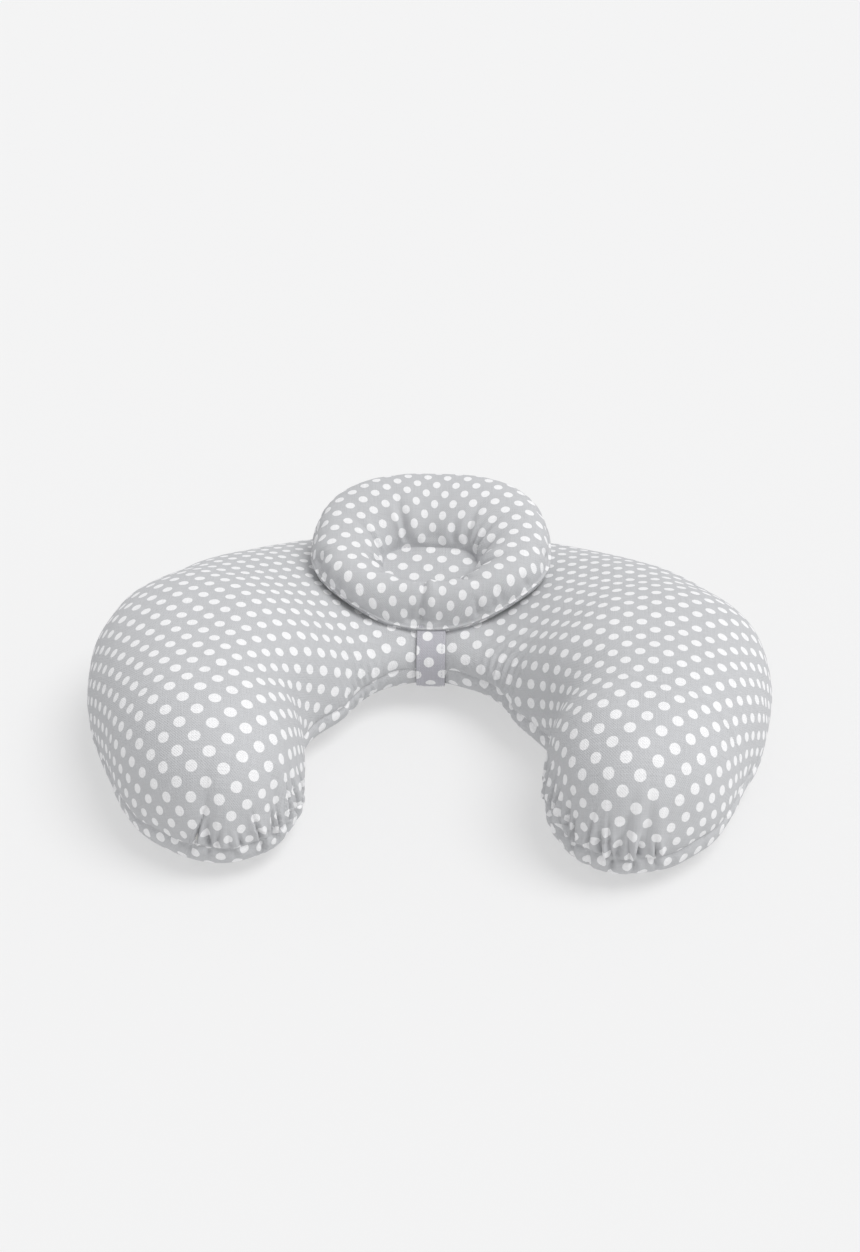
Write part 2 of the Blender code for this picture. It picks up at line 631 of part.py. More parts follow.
def main():
    clear_scene()
    cotton = material("dotted_cotton", (0.50, 0.50, 0.53), 0.85)
    lining = material("white_lining", (0.85, 0.85, 0.84), 0.85)
    fibre = material("hollow_fibre", (0.92, 0.92, 0.90), 0.95)
    make_crescent(cotton, lining, fibre)
    head_panel("head_cushion_top", 1, cotton)
    head_panel("head_cushion_bottom", -1, cotton)
    head_ring(fibre)
    head_wadding(fibre)
    hook = material("hook_tape", (0.40, 0.41, 0.43), 0.7)
    loop = material("loop_tape", (0.45, 0.46, 0.48), 0.9)
    make_strap(cotton, hook, loop)
    make_zip(
        material("zip_tape", (0.42, 0.43, 0.46), 0.85),
        material("zip_teeth", (0.40, 0.41, 0.43), 0.5),
        material("zip_metal", (0.60, 0.60, 0.61), 0.35, 1.0),
    )
    make_label(material("satin_label", (0.88, 0.88, 0.87), 0.5))


main()
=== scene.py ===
"""Fine surfaces and fabrics of a nursing pillow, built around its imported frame.

The pillow is a stuffed crescent in a dotted cotton cover, with a dished head cushion held over its back
by a strap. Every soft piece is a surface of two parameters, worked out as whole arrays; its gathers,
seams and stitches are in the mesh. Metres, +Z up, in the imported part's own frame.
"""

import json
import math

import bmesh
import bpy
import numpy as np
from bpy.props import FloatProperty, FloatVectorProperty, PointerProperty
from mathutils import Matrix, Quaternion, Vector


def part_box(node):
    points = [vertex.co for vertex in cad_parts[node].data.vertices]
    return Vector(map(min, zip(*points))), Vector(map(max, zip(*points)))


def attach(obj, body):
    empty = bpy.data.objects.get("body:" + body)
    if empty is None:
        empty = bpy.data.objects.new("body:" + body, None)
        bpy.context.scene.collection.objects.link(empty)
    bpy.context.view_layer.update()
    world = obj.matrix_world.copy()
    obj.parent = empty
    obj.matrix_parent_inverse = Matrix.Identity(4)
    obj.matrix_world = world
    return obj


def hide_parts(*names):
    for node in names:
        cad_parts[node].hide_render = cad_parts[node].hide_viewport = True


bl_info = {
    "name": "Nursing Pillow",
    "version": (1, 0, 0),
    "blender": (4, 5, 0),
    "location": "View3D > Sidebar > Nursing Pillow",
    "description": "Builds a nursing pillow's padded cover, head cushion, strap and zip",
    "category": "Add Mesh",
}

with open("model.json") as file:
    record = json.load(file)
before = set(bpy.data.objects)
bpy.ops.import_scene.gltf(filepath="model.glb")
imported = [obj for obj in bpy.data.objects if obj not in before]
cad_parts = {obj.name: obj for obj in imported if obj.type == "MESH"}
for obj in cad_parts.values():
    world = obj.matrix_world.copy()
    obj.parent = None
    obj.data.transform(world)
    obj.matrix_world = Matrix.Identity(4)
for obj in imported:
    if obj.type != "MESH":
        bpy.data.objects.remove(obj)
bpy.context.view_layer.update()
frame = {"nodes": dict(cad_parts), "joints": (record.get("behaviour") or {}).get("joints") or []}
JOINTS = {joint["name"]: joint for joint in frame["joints"]}
AXIS_Y = JOINTS["strap_shift"]["pos_m"][1]
SEAM_Z = JOINTS["strap_shift"]["pos_m"][2]
FULL_TURN = 2.0 * math.pi


# ---- numbers and arrays ------------------------------------------------------------------------
def smooth(value, low, high):
    """0 below low, 1 above high, the S curve 3t^2 - 2t^3 between."""
    t = np.clip((value - low) / (high - low), 0.0, 1.0)
    return t * t * (3.0 - 2.0 * t)


def mix(a, b, share):
    return a + (b - a) * share


def power(value, exponent):
    """Signed power: the sign of value times its size to the exponent."""
    return np.sign(value) * np.abs(value) ** exponent


def linear(hex_colour):
    """An sRGB hex colour as linear red, green and blue."""
    parts = [int(hex_colour[k:k + 2], 16) / 255.0 for k in (1, 3, 5)]
    return tuple(c / 12.92 if c <= 0.04045 else ((c + 0.055) / 1.055) ** 2.4 for c in parts)


def bell(value, width, sharpness=2.0):
    """1 at zero, falling off as exp(-|value / width| ^ sharpness)."""
    return np.exp(-np.abs(value / width) ** sharpness)


def turned_from(turn, start, whole=FULL_TURN):
    """How far a place on a loop lies from another, the shorter way round."""
    return (turn - start + whole / 2) % whole - whole / 2


def unit(vectors):
    """Vectors along the last axis, brought to length one."""
    return vectors / np.maximum(np.linalg.norm(vectors, axis=-1, keepdims=True), 1e-12)


def running_length(points, axis):
    """Distance walked along one axis of a grid of points, from its first row or column."""
    steps = np.linalg.norm(np.diff(points, axis=axis), axis=-1)
    start = np.zeros_like(np.take(steps, [0], axis=axis))
    return np.concatenate([start, np.cumsum(steps, axis=axis)], axis=axis)


def walk(path, along, at):
    """Places at these distances along a path whose points lie at the distances along."""
    return np.stack([np.interp(at, along, column) for column in path.T], axis=-1)


def from_axis(radius, angle, height):
    """Points given by their radius from the arc's axis, angle from the back's middle and height."""
    x, y = radius * np.sin(angle), radius * np.cos(angle) + AXIS_Y
    return np.stack(np.broadcast_arrays(x, y, height), axis=-1)


def waves(points, length, seed, count=6):
    """Soft unevenness of a filling: a sum of sine waves about one length apart, in random directions."""
    rng = np.random.default_rng(seed)
    total = np.zeros(points.shape[:-1])
    for _ in range(count):
        direction = unit(rng.normal(size=3))
        stretch = rng.uniform(0.7, 1.4)
        total += np.sin(points @ direction * FULL_TURN / (length * stretch) + rng.uniform(0, FULL_TURN))
    return total / math.sqrt(count)


def outward(points):
    """Outward directions of a grid whose columns close on themselves: across each column and row."""
    around = np.roll(points, -1, axis=1) - np.roll(points, 1, axis=1)
    return unit(np.cross(around, np.gradient(points, axis=0)))


# ---- properties --------------------------------------------------------------------------------
def metres(name, default, description):
    return FloatProperty(name=name, description=description, default=default, unit="LENGTH")


def degrees(name, default, description):
    return FloatProperty(name=name, description=description, default=math.radians(default), subtype="ANGLE")


def number(name, default, description):
    return FloatProperty(name=name, description=description, default=default)


def vector(name, default, description, **settings):
    return FloatVectorProperty(name=name, description=description, default=default, **settings)


def tint(name, hex_colour, description):
    return vector(name, linear(hex_colour), description, subtype="COLOR", min=0.0, max=1.0)


# ---- meshes ------------------------------------------------------------------------------------
def corners(grid):
    """The four corners of each cell of a grid, in turn."""
    return np.stack([grid[:-1, :-1], grid[:-1, 1:], grid[1:, 1:], grid[1:, :-1]], axis=2)


def mesh_piece(name, points, faces, corner_uv, material):
    """An object from points, four-cornered faces and each corner's place on the cloth; doubles merged."""
    mesh = bpy.data.meshes.new(name)
    mesh.from_pydata(points.reshape(-1, 3).tolist(), [], faces.reshape(-1, 4).tolist())
    if corner_uv is not None:
        layer = mesh.uv_layers.new(name="cloth")
        layer.data.foreach_set("uv", corner_uv.astype(np.float32).ravel())
    bm = bmesh.new()
    bm.from_mesh(mesh)
    bmesh.ops.remove_doubles(bm, verts=bm.verts, dist=1e-6)
    bmesh.ops.dissolve_degenerate(bm, edges=bm.edges, dist=1e-7)
    bm.to_mesh(mesh)
    bm.free()
    mesh.shade_smooth()
    mesh.materials.append(material)
    obj = bpy.data.objects.new(name, mesh)
    bpy.context.scene.collection.objects.link(obj)
    return obj


def closed_index(rows, columns):
    """Point numbers of a grid, with the first column repeated after the last."""
    index = np.arange(rows * columns).reshape(rows, columns)
    return np.concatenate([index, index[:, :1]], axis=1)


def ring_grid(name, points, uv_blocks, material):
    """A grid whose columns close on themselves. uv_blocks are the cloth places of its panels, side by
    side, each with one more column than it has cells."""
    corner_uv = np.concatenate([corners(block) for block in uv_blocks], axis=1)
    return mesh_piece(name, points, corners(closed_index(*points.shape[:2])), corner_uv, material)


def closed_strip(name, points, places, material):
    """A grid of rings closed at both ends by a point in the middle of its last ring."""
    first, last = (end.mean(axis=1, keepdims=True) + 0 * end for end in (points[:1], points[-1:]))
    places = np.concatenate([places[:1], places, places[-1:]])
    places = np.concatenate([places, places[:, :1]], axis=1)
    return ring_grid(name, np.concatenate([first, points, last]), [places], material)


def scatter(name, template, places, along, across, out, material):
    """Copies of a small closed grid, one at each place: its own x runs along, y across and z out."""
    axes = np.stack([along, across, out], axis=1)
    points = places[:, None, None, :] + np.einsum("rcj,kjd->krcd", template, axes)
    rows, columns = template.shape[:2]
    first = np.arange(len(places)) * rows * columns
    faces = corners(closed_index(rows, columns)) + first[:, None, None, None]
    return mesh_piece(name, points, faces, None, material)


def bead(length, width, height, roundness, rows=5, columns=10):
    """A closed rounded bead: x and the section are superellipses of the same roundness."""
    slope = np.linspace(-math.pi / 2, math.pi / 2, rows)[:, None]
    turn = np.linspace(0, FULL_TURN, columns, endpoint=False)[None, :]
    e = 2.0 / roundness
    x = power(np.sin(slope), e) + 0 * turn
    y = power(np.cos(slope), e) * power(np.cos(turn), e)
    z = power(np.cos(slope), e) * power(np.sin(turn), e)
    grid = np.stack([x * length / 2, y * width / 2, z * height / 2], axis=-1)
    return grid[::-1]


# ---- crescent ----------------------------------------------------------------------------------
class PILLOW_PG_crescent(bpy.types.PropertyGroup):
    """Sizes of the stuffed crescent and of the gathers in its cover."""

    arc_radius: metres("Arc radius", 0.192, "From the arc's axis to the crescent's centreline")
    tip_angle: degrees("Tip angle", 142.3, "From the middle of the back round to a tip")
    cap_angle: degrees("Cap angle", 33.6, "Length of a tip's rounding")
    back_angle: degrees("Back angle", 18.0, "The back keeps its section as far as this")
    full_angle: degrees("Full angle", 79.0, "The arms reach their full height here")
    inner_delay: degrees("Inner delay", 14.0, "How much later the arms rise along the inner seam")
    waist_angle: degrees("Waist angle", 70.5, "The arms start to narrow here")
    narrow_angle: degrees("Narrow angle", 113.5, "The arms have narrowed to the tips' width here")
    outer_half_width: metres("Outer half width", 0.1165, "Centreline to outer seam")
    back_inner_half_width: metres("Back inner half width", 0.1175, "Centreline to inner seam at the back")
    arm_inner_half_width: metres("Arm inner half width", 0.1150, "Centreline to inner seam at the arms")
    tip_half_width: metres("Tip half width", 0.0795, "Centreline to seam where a tip's rounding starts")
    back_height: metres("Back height", 0.0860, "Crest of the back above the floor")
    arm_height: metres("Arm height", 0.1285, "Crest of the arms above the floor")
    back_lift: metres("Back lift", 0.0045, "Clearance of the strapped back above the floor")
    seam_drop: metres("Seam drop", 0.004, "How much lower the seam runs round the tips")
    inner_rise: metres("Inner rise", 0.007, "How much higher the inner seam runs along the back")
    roundness: number("Roundness", 2.42, "Exponent of the section's superellipse")
    flattening: number("Flattening", 1.08, "How far the underside is pressed flat")
    unevenness: metres("Unevenness", 0.0011, "Height of the filling's soft lumps")
    gather_depth: metres("Gather depth", 0.0085, "Depth of the gathers round the tips")
    pucker_depth: metres("Pucker depth", 0.0011, "Depth of the small puckers along the seam")
    corner_depth: metres("Corner crease depth", 0.0013, "Depth of the creases where the arms meet the back")


CAP_PLAN, CAP_HEIGHT = 2.1, 3.0     # exponents of a tip's rounding, in plan and in height
INNER_RISE_ANGLES = 0.5, 1.3        # the raised inner seam comes down between these
SEAM_CROWDING = 0.4                 # size of the cells at the seams, over their mean


def section(size, angle, cap, turn):
    """Radius from the arc's axis and height at a turn round the crescent's section: 0 is the outer seam,
    a quarter turn the crest, half a turn the inner seam. The section is a superellipse; its half widths
    and height ease from the back's to the arms', then to the tips', and cap (0 to 1) rounds a tip off."""
    away = np.abs(angle)
    across, up = np.cos(turn), np.sin(turn)
    inside = smooth(-across, 0.0, 1.0)
    delay = size.inner_delay * inside
    to_arm = smooth(away, size.back_angle + delay, size.full_angle + delay)
    to_tip = smooth(away, size.waist_angle, size.narrow_angle)
    outer = mix(size.outer_half_width, size.tip_half_width, to_tip)
    inner = mix(size.back_inner_half_width, size.arm_inner_half_width, to_arm)
    inner = mix(inner, size.tip_half_width, to_tip)
    height = mix(size.back_height, size.arm_height, to_arm)
    lift = size.back_lift * (1.0 - to_arm)
    seam = SEAM_Z - size.seam_drop * smooth(away, size.narrow_angle, size.tip_angle) \
        + size.inner_rise * inside * (1.0 - smooth(away, *INNER_RISE_ANGLES))
    flat = 2.0 / size.roundness
    wide = (1.0 - np.minimum(cap, 1.0) ** CAP_PLAN) ** (1.0 / CAP_PLAN)
    tall = (1.0 - np.minimum(cap, 1.0) ** CAP_HEIGHT) ** (1.0 / CAP_HEIGHT)
    radius = size.arc_radius + power(across, flat) * np.where(across > 0, outer, inner) * wide
    above = (height - seam) * tall * np.abs(up) ** flat
    below = (seam - lift) * np.minimum(1.0, size.flattening * tall * np.abs(up) ** flat)
    return radius, seam + np.where(up >= 0, above, -below)


def stations(size, rows, cap_rows):
    """Angles along the crescent from tip to tip, with their cap shares; the steps shorten towards a tip
    as the sine of a quarter turn does."""
    start = size.tip_angle - size.cap_angle
    cap = np.sin(np.linspace(0.0, math.pi / 2, cap_rows + 1))[1:]
    ends = start + size.cap_angle * cap
    angle = np.concatenate([-ends[::-1], np.linspace(-start, start, rows), ends])
    share = np.concatenate([cap[::-1], np.zeros(rows), cap])
    return angle[:, None], share[:, None]


def quarter_turns(wide, tall, exponent, count):
    """Turns from a seam to the crest whose steps along a superellipse grow evenly from the seam."""
    turn = np.linspace(0.0, math.pi / 2, 2000)
    path = np.stack([wide * np.cos(turn) ** (2 / exponent), tall * np.sin(turn) ** (2 / exponent)], axis=-1)
    length = running_length(path, 0)
    u = np.linspace(0.0, 1.0, count + 1)
    return np.interp(length[-1] * (SEAM_CROWDING * u + (1.0 - SEAM_CROWDING) * u * u), length, turn)


def section_turns(size, upper, lower):
    """Turns round the whole section, finest at the two seams."""
    top = quarter_turns(size.outer_half_width, size.arm_height - SEAM_Z, size.roundness, upper)
    under = quarter_turns(size.outer_half_width, SEAM_Z, size.roundness, lower)
    half = math.pi
    parts = [top, half - top[::-1][1:], half + under[1:], FULL_TURN - under[::-1][1:-1]]
    return np.concatenate(parts)[None, :]


def nearest_on_loop(points, loop):
    """For each point, its place along a closed loop of points, and its distance from it."""
    closed = np.concatenate([loop, loop[:1]])
    along = running_length(closed, 0)
    flat = points.reshape(-1, 3).astype(np.float32)
    target = loop.astype(np.float32)
    square = (target ** 2).sum(-1)
    index = np.concatenate([
        np.argmin(square - 2.0 * (part @ target.T), axis=1)
        for part in np.array_split(flat, max(1, len(flat) // 20000))
    ])
    distance = np.linalg.norm(flat - target[index], axis=1)
    shape = points.shape[:-1]
    return along[:-1][index].reshape(shape), distance.reshape(shape), along[-1]


RIDGE_HEIGHT = 0.4      # of the soft ridges beside a fold, over its valley's depth
RIDGE_PLACE = 2.0       # in half widths of the valley, from its middle
RIDGE_WIDTH = 1.3
VALLEY_SHARPNESS = 1.3


def folds(place, distance, loop_length, rows):
    """Gathers that start at a seam. Each row is (place along the seam, half width, reach, depth, slant):
    a narrow valley between two soft ridges, which fades with the distance from the seam."""
    total = np.zeros_like(distance)
    for start, width, reach, depth, slant in rows:
        off = turned_from(place - slant * distance, start, loop_length)
        near = (np.abs(off) < 5 * width) & (distance < 2.6 * reach)
        t = off[near] / width
        ridges = bell(t - RIDGE_PLACE, RIDGE_WIDTH) + bell(t + RIDGE_PLACE, RIDGE_WIDTH)
        total[near] += depth * (RIDGE_HEIGHT * ridges - bell(t, 1.0, VALLEY_SHARPNESS)) \
            * bell(distance[near], reach)
    return total


def gather_rows(rng, low, high, spacing, width, reach, depth, slant=0.25):
    """Random gathers between two places along a seam."""
    count = max(1, round((high - low) / spacing))
    rows = []
    for k in range(count):
        start = low + (high - low) * (k + rng.uniform(0.15, 0.85)) / count
        rows.append((
            start, width * rng.uniform(0.7, 1.3), reach * rng.uniform(0.45, 1.25),
            depth * rng.uniform(0.35, 1.15), rng.uniform(-slant, slant),
        ))
    return rows


def crescent_grid(size, rows, cap_rows, upper, lower):
    """Points of the plain crescent, its outward directions, and the column of its inner seam."""
    angle, cap = stations(size, rows, cap_rows)
    turn = section_turns(size, upper, lower)
    radius, z = section(size, angle, cap, turn)
    points = from_axis(radius, angle, z)
    points[[0, -1]] = points[[0, -1]].mean(axis=1, keepdims=True)
    out = outward(points)
    for end, sign in ((0, -1.0), (-1, 1.0)):
        tip = float(angle[end, 0])
        out[end] = sign * np.array([math.cos(tip), -math.sin(tip), 0.0])
    return points, out, angle, turn, 2 * upper


# Gathers as rows of (spacing, half width, reach from the seam, share of the gather depth)
GATHER_SEED = 11
GATHER_SPAN = 0.075     # they run this far along the seam to both sides of a tip
TOP_GATHERS = ((0.0105, 0.0017, 0.027, 1.0), (0.028, 0.0055, 0.046, 0.6))
UNDER_GATHERS = ((0.016, 0.0026, 0.016, 0.6),)
PUCKERS = (0.017, 0.0030, 0.013)    # spacing, half width and reach of those along the rest of the seam
SEAM_START = 0.004      # gathers grow to their depth this far from the seam
SEAM_GROOVE, SEAM_GROOVE_REACH = 0.0020, 0.0022     # the crease that the stitches pull in
SEAM_SHOULDER, SHOULDER_PLACE, SHOULDER_WIDTH = 0.0009, 0.014, 0.010    # and the swelling beside it
CORNER_ANGLE, CORNER_SPREAD = math.radians(54.0), math.radians(15.0)
CORNER_REACH, CREASES_PER_RADIAN = 0.055, 62.0
LUMP_LENGTH, SMALL_LUMP_LENGTH, SMALL_LUMP_SHARE = 0.13, 0.05, 0.35
CALM_ANGLES = math.radians(36.0), math.radians(60.0)    # the strapped back has a quarter of the lumps
ZIP_FROM = math.radians(-77.0), math.radians(-74.0)     # the cover is drawn flat between these
ZIP_TO = math.radians(-22.0), math.radians(-19.0)
ZIP_REACH, ZIP_SINK = 0.014, 0.0004
PINCH_HALF_WIDTH, PINCH_SINK, PINCH_ANGLE = 0.021, 0.0010, math.radians(30.0)   # under the strap
SWAYS = ((0.0009, 0.047, 0.0), (0.0006, 0.083, 1.0))    # height, wavelength and start of the seam's waver
SWAY_REACH = 0.02


def cover_relief(size, points, angle, turn, inner_column):
    """How far the sewn cover stands out from the plain crescent: soft lumps, the crease of the seam, the
    gathers round the tips, small puckers elsewhere, the creases of the two inner corners and the
    strap's pinch. Also how far the seam wavers up and down."""
    loop = np.concatenate([points[:-1, 0], points[:0:-1, inner_column]])
    place, distance, length = nearest_on_loop(points, loop)
    left_tip, right_tip = 0.0, running_length(points[:, 0], 0)[-1]
    rng = np.random.default_rng(GATHER_SEED)
    top_rows, under_rows = [], []
    for tip in (left_tip, right_tip):
        for rows, gathers in ((top_rows, TOP_GATHERS), (under_rows, UNDER_GATHERS)):
            for spacing, width, reach, share in gathers:
                depth = size.gather_depth * share
                rows += gather_rows(rng, tip - GATHER_SPAN, tip + GATHER_SPAN, spacing, width, reach, depth)
    for low, high in ((left_tip, right_tip), (right_tip, length)):
        for rows in (top_rows, under_rows):
            rows += gather_rows(rng, low + GATHER_SPAN, high - GATHER_SPAN, *PUCKERS, size.pucker_depth)
    above, below = (folds(place, distance, length, rows) for rows in (top_rows, under_rows))
    relief = np.where(np.sin(turn) >= 0, above, below) * smooth(distance, 0.0, SEAM_START)
    away = np.abs(angle)
    corner = bell(away - CORNER_ANGLE, CORNER_SPREAD) * smooth(-np.cos(turn), 0.1, 0.9)
    crease = np.sin(away * CREASES_PER_RADIAN + 1.6 * np.sin(9.0 * turn + 3.0 * np.sign(angle)))
    near_seam = bell(distance, CORNER_REACH) * smooth(distance, 0.0, 0.010)
    relief += size.corner_depth * corner * near_seam * crease
    lumps = waves(points, LUMP_LENGTH, seed=3) + SMALL_LUMP_SHARE * waves(points, SMALL_LUMP_LENGTH, seed=4)
    relief += size.unevenness * mix(0.25, 1.0, smooth(away, *CALM_ANGLES)) * lumps
    relief -= SEAM_GROOVE * bell(distance, SEAM_GROOVE_REACH, 1.0)
    relief += SEAM_SHOULDER * bell(distance - SHOULDER_PLACE, SHOULDER_WIDTH)
    zipped = smooth(angle, *ZIP_FROM) * (1.0 - smooth(angle, *ZIP_TO)) \
        * smooth(np.cos(turn), 0.2, 0.9) * bell(distance, ZIP_REACH, 4.0)
    strapped = bell(points[..., 0], PINCH_HALF_WIDTH, 4.0) * (away < PINCH_ANGLE)
    relief = mix(mix(relief, -ZIP_SINK, zipped), -PINCH_SINK, strapped)
    sway = sum(height * np.sin(place * FULL_TURN / wave + start) for height, wave, start in SWAYS)
    return relief, sway * bell(distance, SWAY_REACH, 1.0) * (1.0 - zipped) * (1.0 - strapped)


MOST_GATHER = 1.25      # the cloth may be cut this much longer than its seam


def pattern_guess(points, size, middle, side):
    """A first guess at a panel's flat pattern: a crescent whose centreline is as long as the sewn one, with
    its places across it as far from the middle as the surface runs."""
    across = running_length(points, 1)
    across = (across[:, middle:middle + 1] - across) * side
    along = running_length(points[:, middle], 0)[:, None]
    along = along - along[len(along) // 2]
    angle = along / size.arc_radius
    return (size.arc_radius + across)[..., None] * np.stack([np.sin(angle), np.cos(angle)], -1)


def flat_pattern(points, guess, rounds=60):
    """The flat pattern of a curved panel. Each cell's two triangles keep their sewn size as nearly as they
    can, or are cut a little larger where the cloth is gathered, but never smaller, because it doesn't
    stretch: in every round each triangle takes the turn and growth that suit its present place best,
    then all the places are solved together by least squares."""
    rows, columns = points.shape[:2]
    index = np.arange(rows * columns).reshape(rows, columns)
    cell = corners(index).reshape(-1, 4)
    triangles = np.concatenate([cell[:, [0, 1, 2]], cell[:, [0, 2, 3]]])
    solid = points.reshape(-1, 3)[triangles]
    base, side = solid[:, 1] - solid[:, 0], solid[:, 2] - solid[:, 0]
    length = np.maximum(np.linalg.norm(base, axis=1), 1e-9)
    reach = (base * side).sum(-1) / length
    height = np.sqrt(np.maximum((side * side).sum(-1) - reach ** 2, 0.0))
    zero = np.zeros_like(length)
    flat = np.stack([np.stack(pair, -1) for pair in ((zero, zero), (length, zero), (reach, height))], axis=1)
    place = guess.reshape(-1, 2).copy()
    bend = place[triangles]
    first, second = bend[:, 1] - bend[:, 0], bend[:, 2] - bend[:, 0]
    if np.median(first[:, 0] * second[:, 1] - first[:, 1] * second[:, 0]) < 0:
        flat[..., 1] *= -1.0
    start, end = triangles.ravel(), np.roll(triangles, -1, axis=1).ravel()
    edge = (np.roll(flat, -1, axis=1) - flat).reshape(-1, 3, 2)
    count = len(place)
    matrix = np.full((count, count), 1.0 / count)
    np.add.at(matrix, (start, start), 1.0)
    np.add.at(matrix, (end, end), 1.0)
    np.add.at(matrix, (start, end), -1.0)
    np.add.at(matrix, (end, start), -1.0)
    inverse = np.linalg.inv(matrix)
    for _ in range(rounds):
        now = place[end].reshape(-1, 3, 2) - place[start].reshape(-1, 3, 2)
        cross = (edge[..., 0] * now[..., 1] - edge[..., 1] * now[..., 0]).sum(1)
        dot = (edge * now).sum((1, 2))
        growth = np.hypot(cross, dot) / np.maximum((edge * edge).sum((1, 2)), 1e-12)
        growth = np.clip(growth, 1.0, MOST_GATHER)
        turn = np.arctan2(cross, dot)
        c, s = (growth * np.cos(turn))[:, None], (growth * np.sin(turn))[:, None]
        wanted = np.stack([edge[..., 0] * c - edge[..., 1] * s, edge[..., 0] * s + edge[..., 1] * c], -1)
        wanted = wanted.reshape(-1, 2)
        pull = np.stack([np.bincount(end, wanted[:, k], count) - np.bincount(start, wanted[:, k], count)
                         for k in range(2)], -1)
        place = inverse @ pull
    return place.reshape(rows, columns, 2)


def coarse_steps(count, wanted):
    """About this many whole numbers from 0 to count - 1, evenly spread, with both ends."""
    return np.unique(np.round(np.linspace(0, count - 1, wanted)).astype(int))


COARSE_ROWS, COARSE_COLUMNS = 76, 19


def flat_panel(points, size, middle, side):
    """Cloth places of one panel of the cover, worked out on a coarse grid and spread over the fine one."""
    rows = coarse_steps(len(points), COARSE_ROWS)
    columns = coarse_steps(points.shape[1], COARSE_COLUMNS)
    rough = points[np.ix_(rows, columns)]
    guess = pattern_guess(points, size, middle, side)[np.ix_(rows, columns)]
    cut = flat_pattern(rough, guess)
    every_row, every_column = np.arange(len(points)), np.arange(points.shape[1])
    cut = np.stack([
        np.stack([np.interp(every_row, rows, cut[:, j, k]) for j in range(len(columns))], -1)
        for k in range(2)], -1)
    low = np.clip(np.searchsorted(columns, every_column, side="right") - 1, 0, len(columns) - 2)
    share = ((every_column - columns[low]) / (columns[low + 1] - columns[low]))[None, :, None]
    return cut[:, low] * (1 - share) + cut[:, low + 1] * share


def shaped_crescent(size, rows, cap_rows, upper, lower, inset):
    """The cover's surface, or a layer inset below it, with its plain grid for the cloth's places."""
    plain, out, angle, turn, inner_column = crescent_grid(size, rows, cap_rows, upper, lower)
    relief, sway = cover_relief(size, plain, angle, turn, inner_column)
    points = plain + out * (relief - inset)[..., None]
    points[..., 2] += sway
    points[[0, -1]] = points[[0, -1]].mean(axis=1, keepdims=True)
    points[..., 2] = np.maximum(points[..., 2], 0.0002 + inset)
    return points, plain, inner_column


def both_panels(lay, plain, size, inner):
    """Cloth places of the upper and the lower panel, each laid flat by one of the functions above."""
    lower = np.concatenate([plain[:, inner:], plain[:, :1]], axis=1)
    middle = (lower.shape[1] - 1) // 2
    return lay(plain[:, :inner + 1], size, inner // 2, 1.0), lay(lower, size, middle, -1.0)


UNDER_SHIFT = (0.37, 0.21)      # where the lower panel was cut from the printed cloth, in pitches
COVER_CELLS = (380, 150, 80, 40)    # rows along the arc, rows of a tip, turns above and below the seam
LAYER_CELLS = (210, 50, 40, 26)
CASE_INSET, FILLING_INSET = 0.0040, 0.0060


class PILLOW_OT_cover(bpy.types.Operator):
    """Builds the crescent's cover, its inner case and its filling."""

    bl_idname = "pillow.cover"
    bl_label = "Pillow Cover"

    def execute(self, context):
        size = context.scene.pillow_crescent
        cloth = context.scene.pillow_print
        points, plain, inner = shaped_crescent(size, *COVER_CELLS, 0.0)
        top, under = both_panels(flat_panel, plain, size, inner)
        places = [top + np.array(cloth.top_shift), under + np.array(UNDER_SHIFT) * cloth.pitch]
        cover = ring_grid("pillow_cover", points, places, printed_cotton("printed_cotton_poplin", cloth))
        finish_piece(cover, "pillow", "dotted_cotton", "cover_top_panel", "cover_bottom_panel")
        for name, inset, slot, nodes, material in (
            ("pillow_inner_case", CASE_INSET, "white_lining", ("inner_case_upper", "inner_case_lower"),
             plain_cotton()),
            ("pillow_fibre_filling", FILLING_INSET, "hollow_fibre", ("fibre_filling",), fibre_wadding()),
        ):
            points, plain, inner = shaped_crescent(size, *LAYER_CELLS, inset)
            layer = ring_grid(name, points, both_panels(pattern_guess, plain, size, inner), material)
            finish_piece(layer, "pillow", slot, *nodes)
        return {"FINISHED"}


# ---- head cushion ------------------------------------------------------------------------------
class PILLOW_PG_head(bpy.types.PropertyGroup):
    """Sizes of the head cushion."""

    half_width: metres("Half width", 0.109, "Middle to side seam")
    half_depth: metres("Half depth", 0.0865, "Middle to front or rear seam")
    sideways: metres("Sideways", -0.003, "How far the cushion sits off the strap's middle")
    offset: metres("Offset", -0.012, "Middle of the cushion behind the crescent's centreline")
    squareness: number("Squareness", 2.45, "Exponent of the outline's superellipse")
    rear_squareness: number("Rear squareness", 2.95, "The same for the rear half")
    front_rise: metres("Front rise", 0.0055, "Seam above the crescent at the front")
    rear_rise: metres("Rear rise", 0.048, "Seam above the crescent at the rear")
    ring_top: metres("Ring top", 0.0265, "Ring of filling above its seam")
    ring_top_rear: metres("Extra at the rear", 0.006, "How much higher the ring is at the rear")
    ring_bottom: metres("Ring bottom", 0.018, "Ring of filling below its seam")
    ring_bottom_rear: metres("Extra below the rear", 0.022, "How much deeper the ring is at the rear")
    dish_half_width: metres("Dish half width", 0.044, "Stitched-down middle, across")
    dish_half_depth: metres("Dish half depth", 0.0315, "Stitched-down middle, front to rear")
    dish_offset: metres("Dish offset", -0.037, "Middle of the dish behind the crescent's centreline")
    lip: metres("Seam lip", 0.0022, "How far the edge seam stands out")
    pucker_depth: metres("Pucker depth", 0.0040, "Depth of the puckers round the dish")


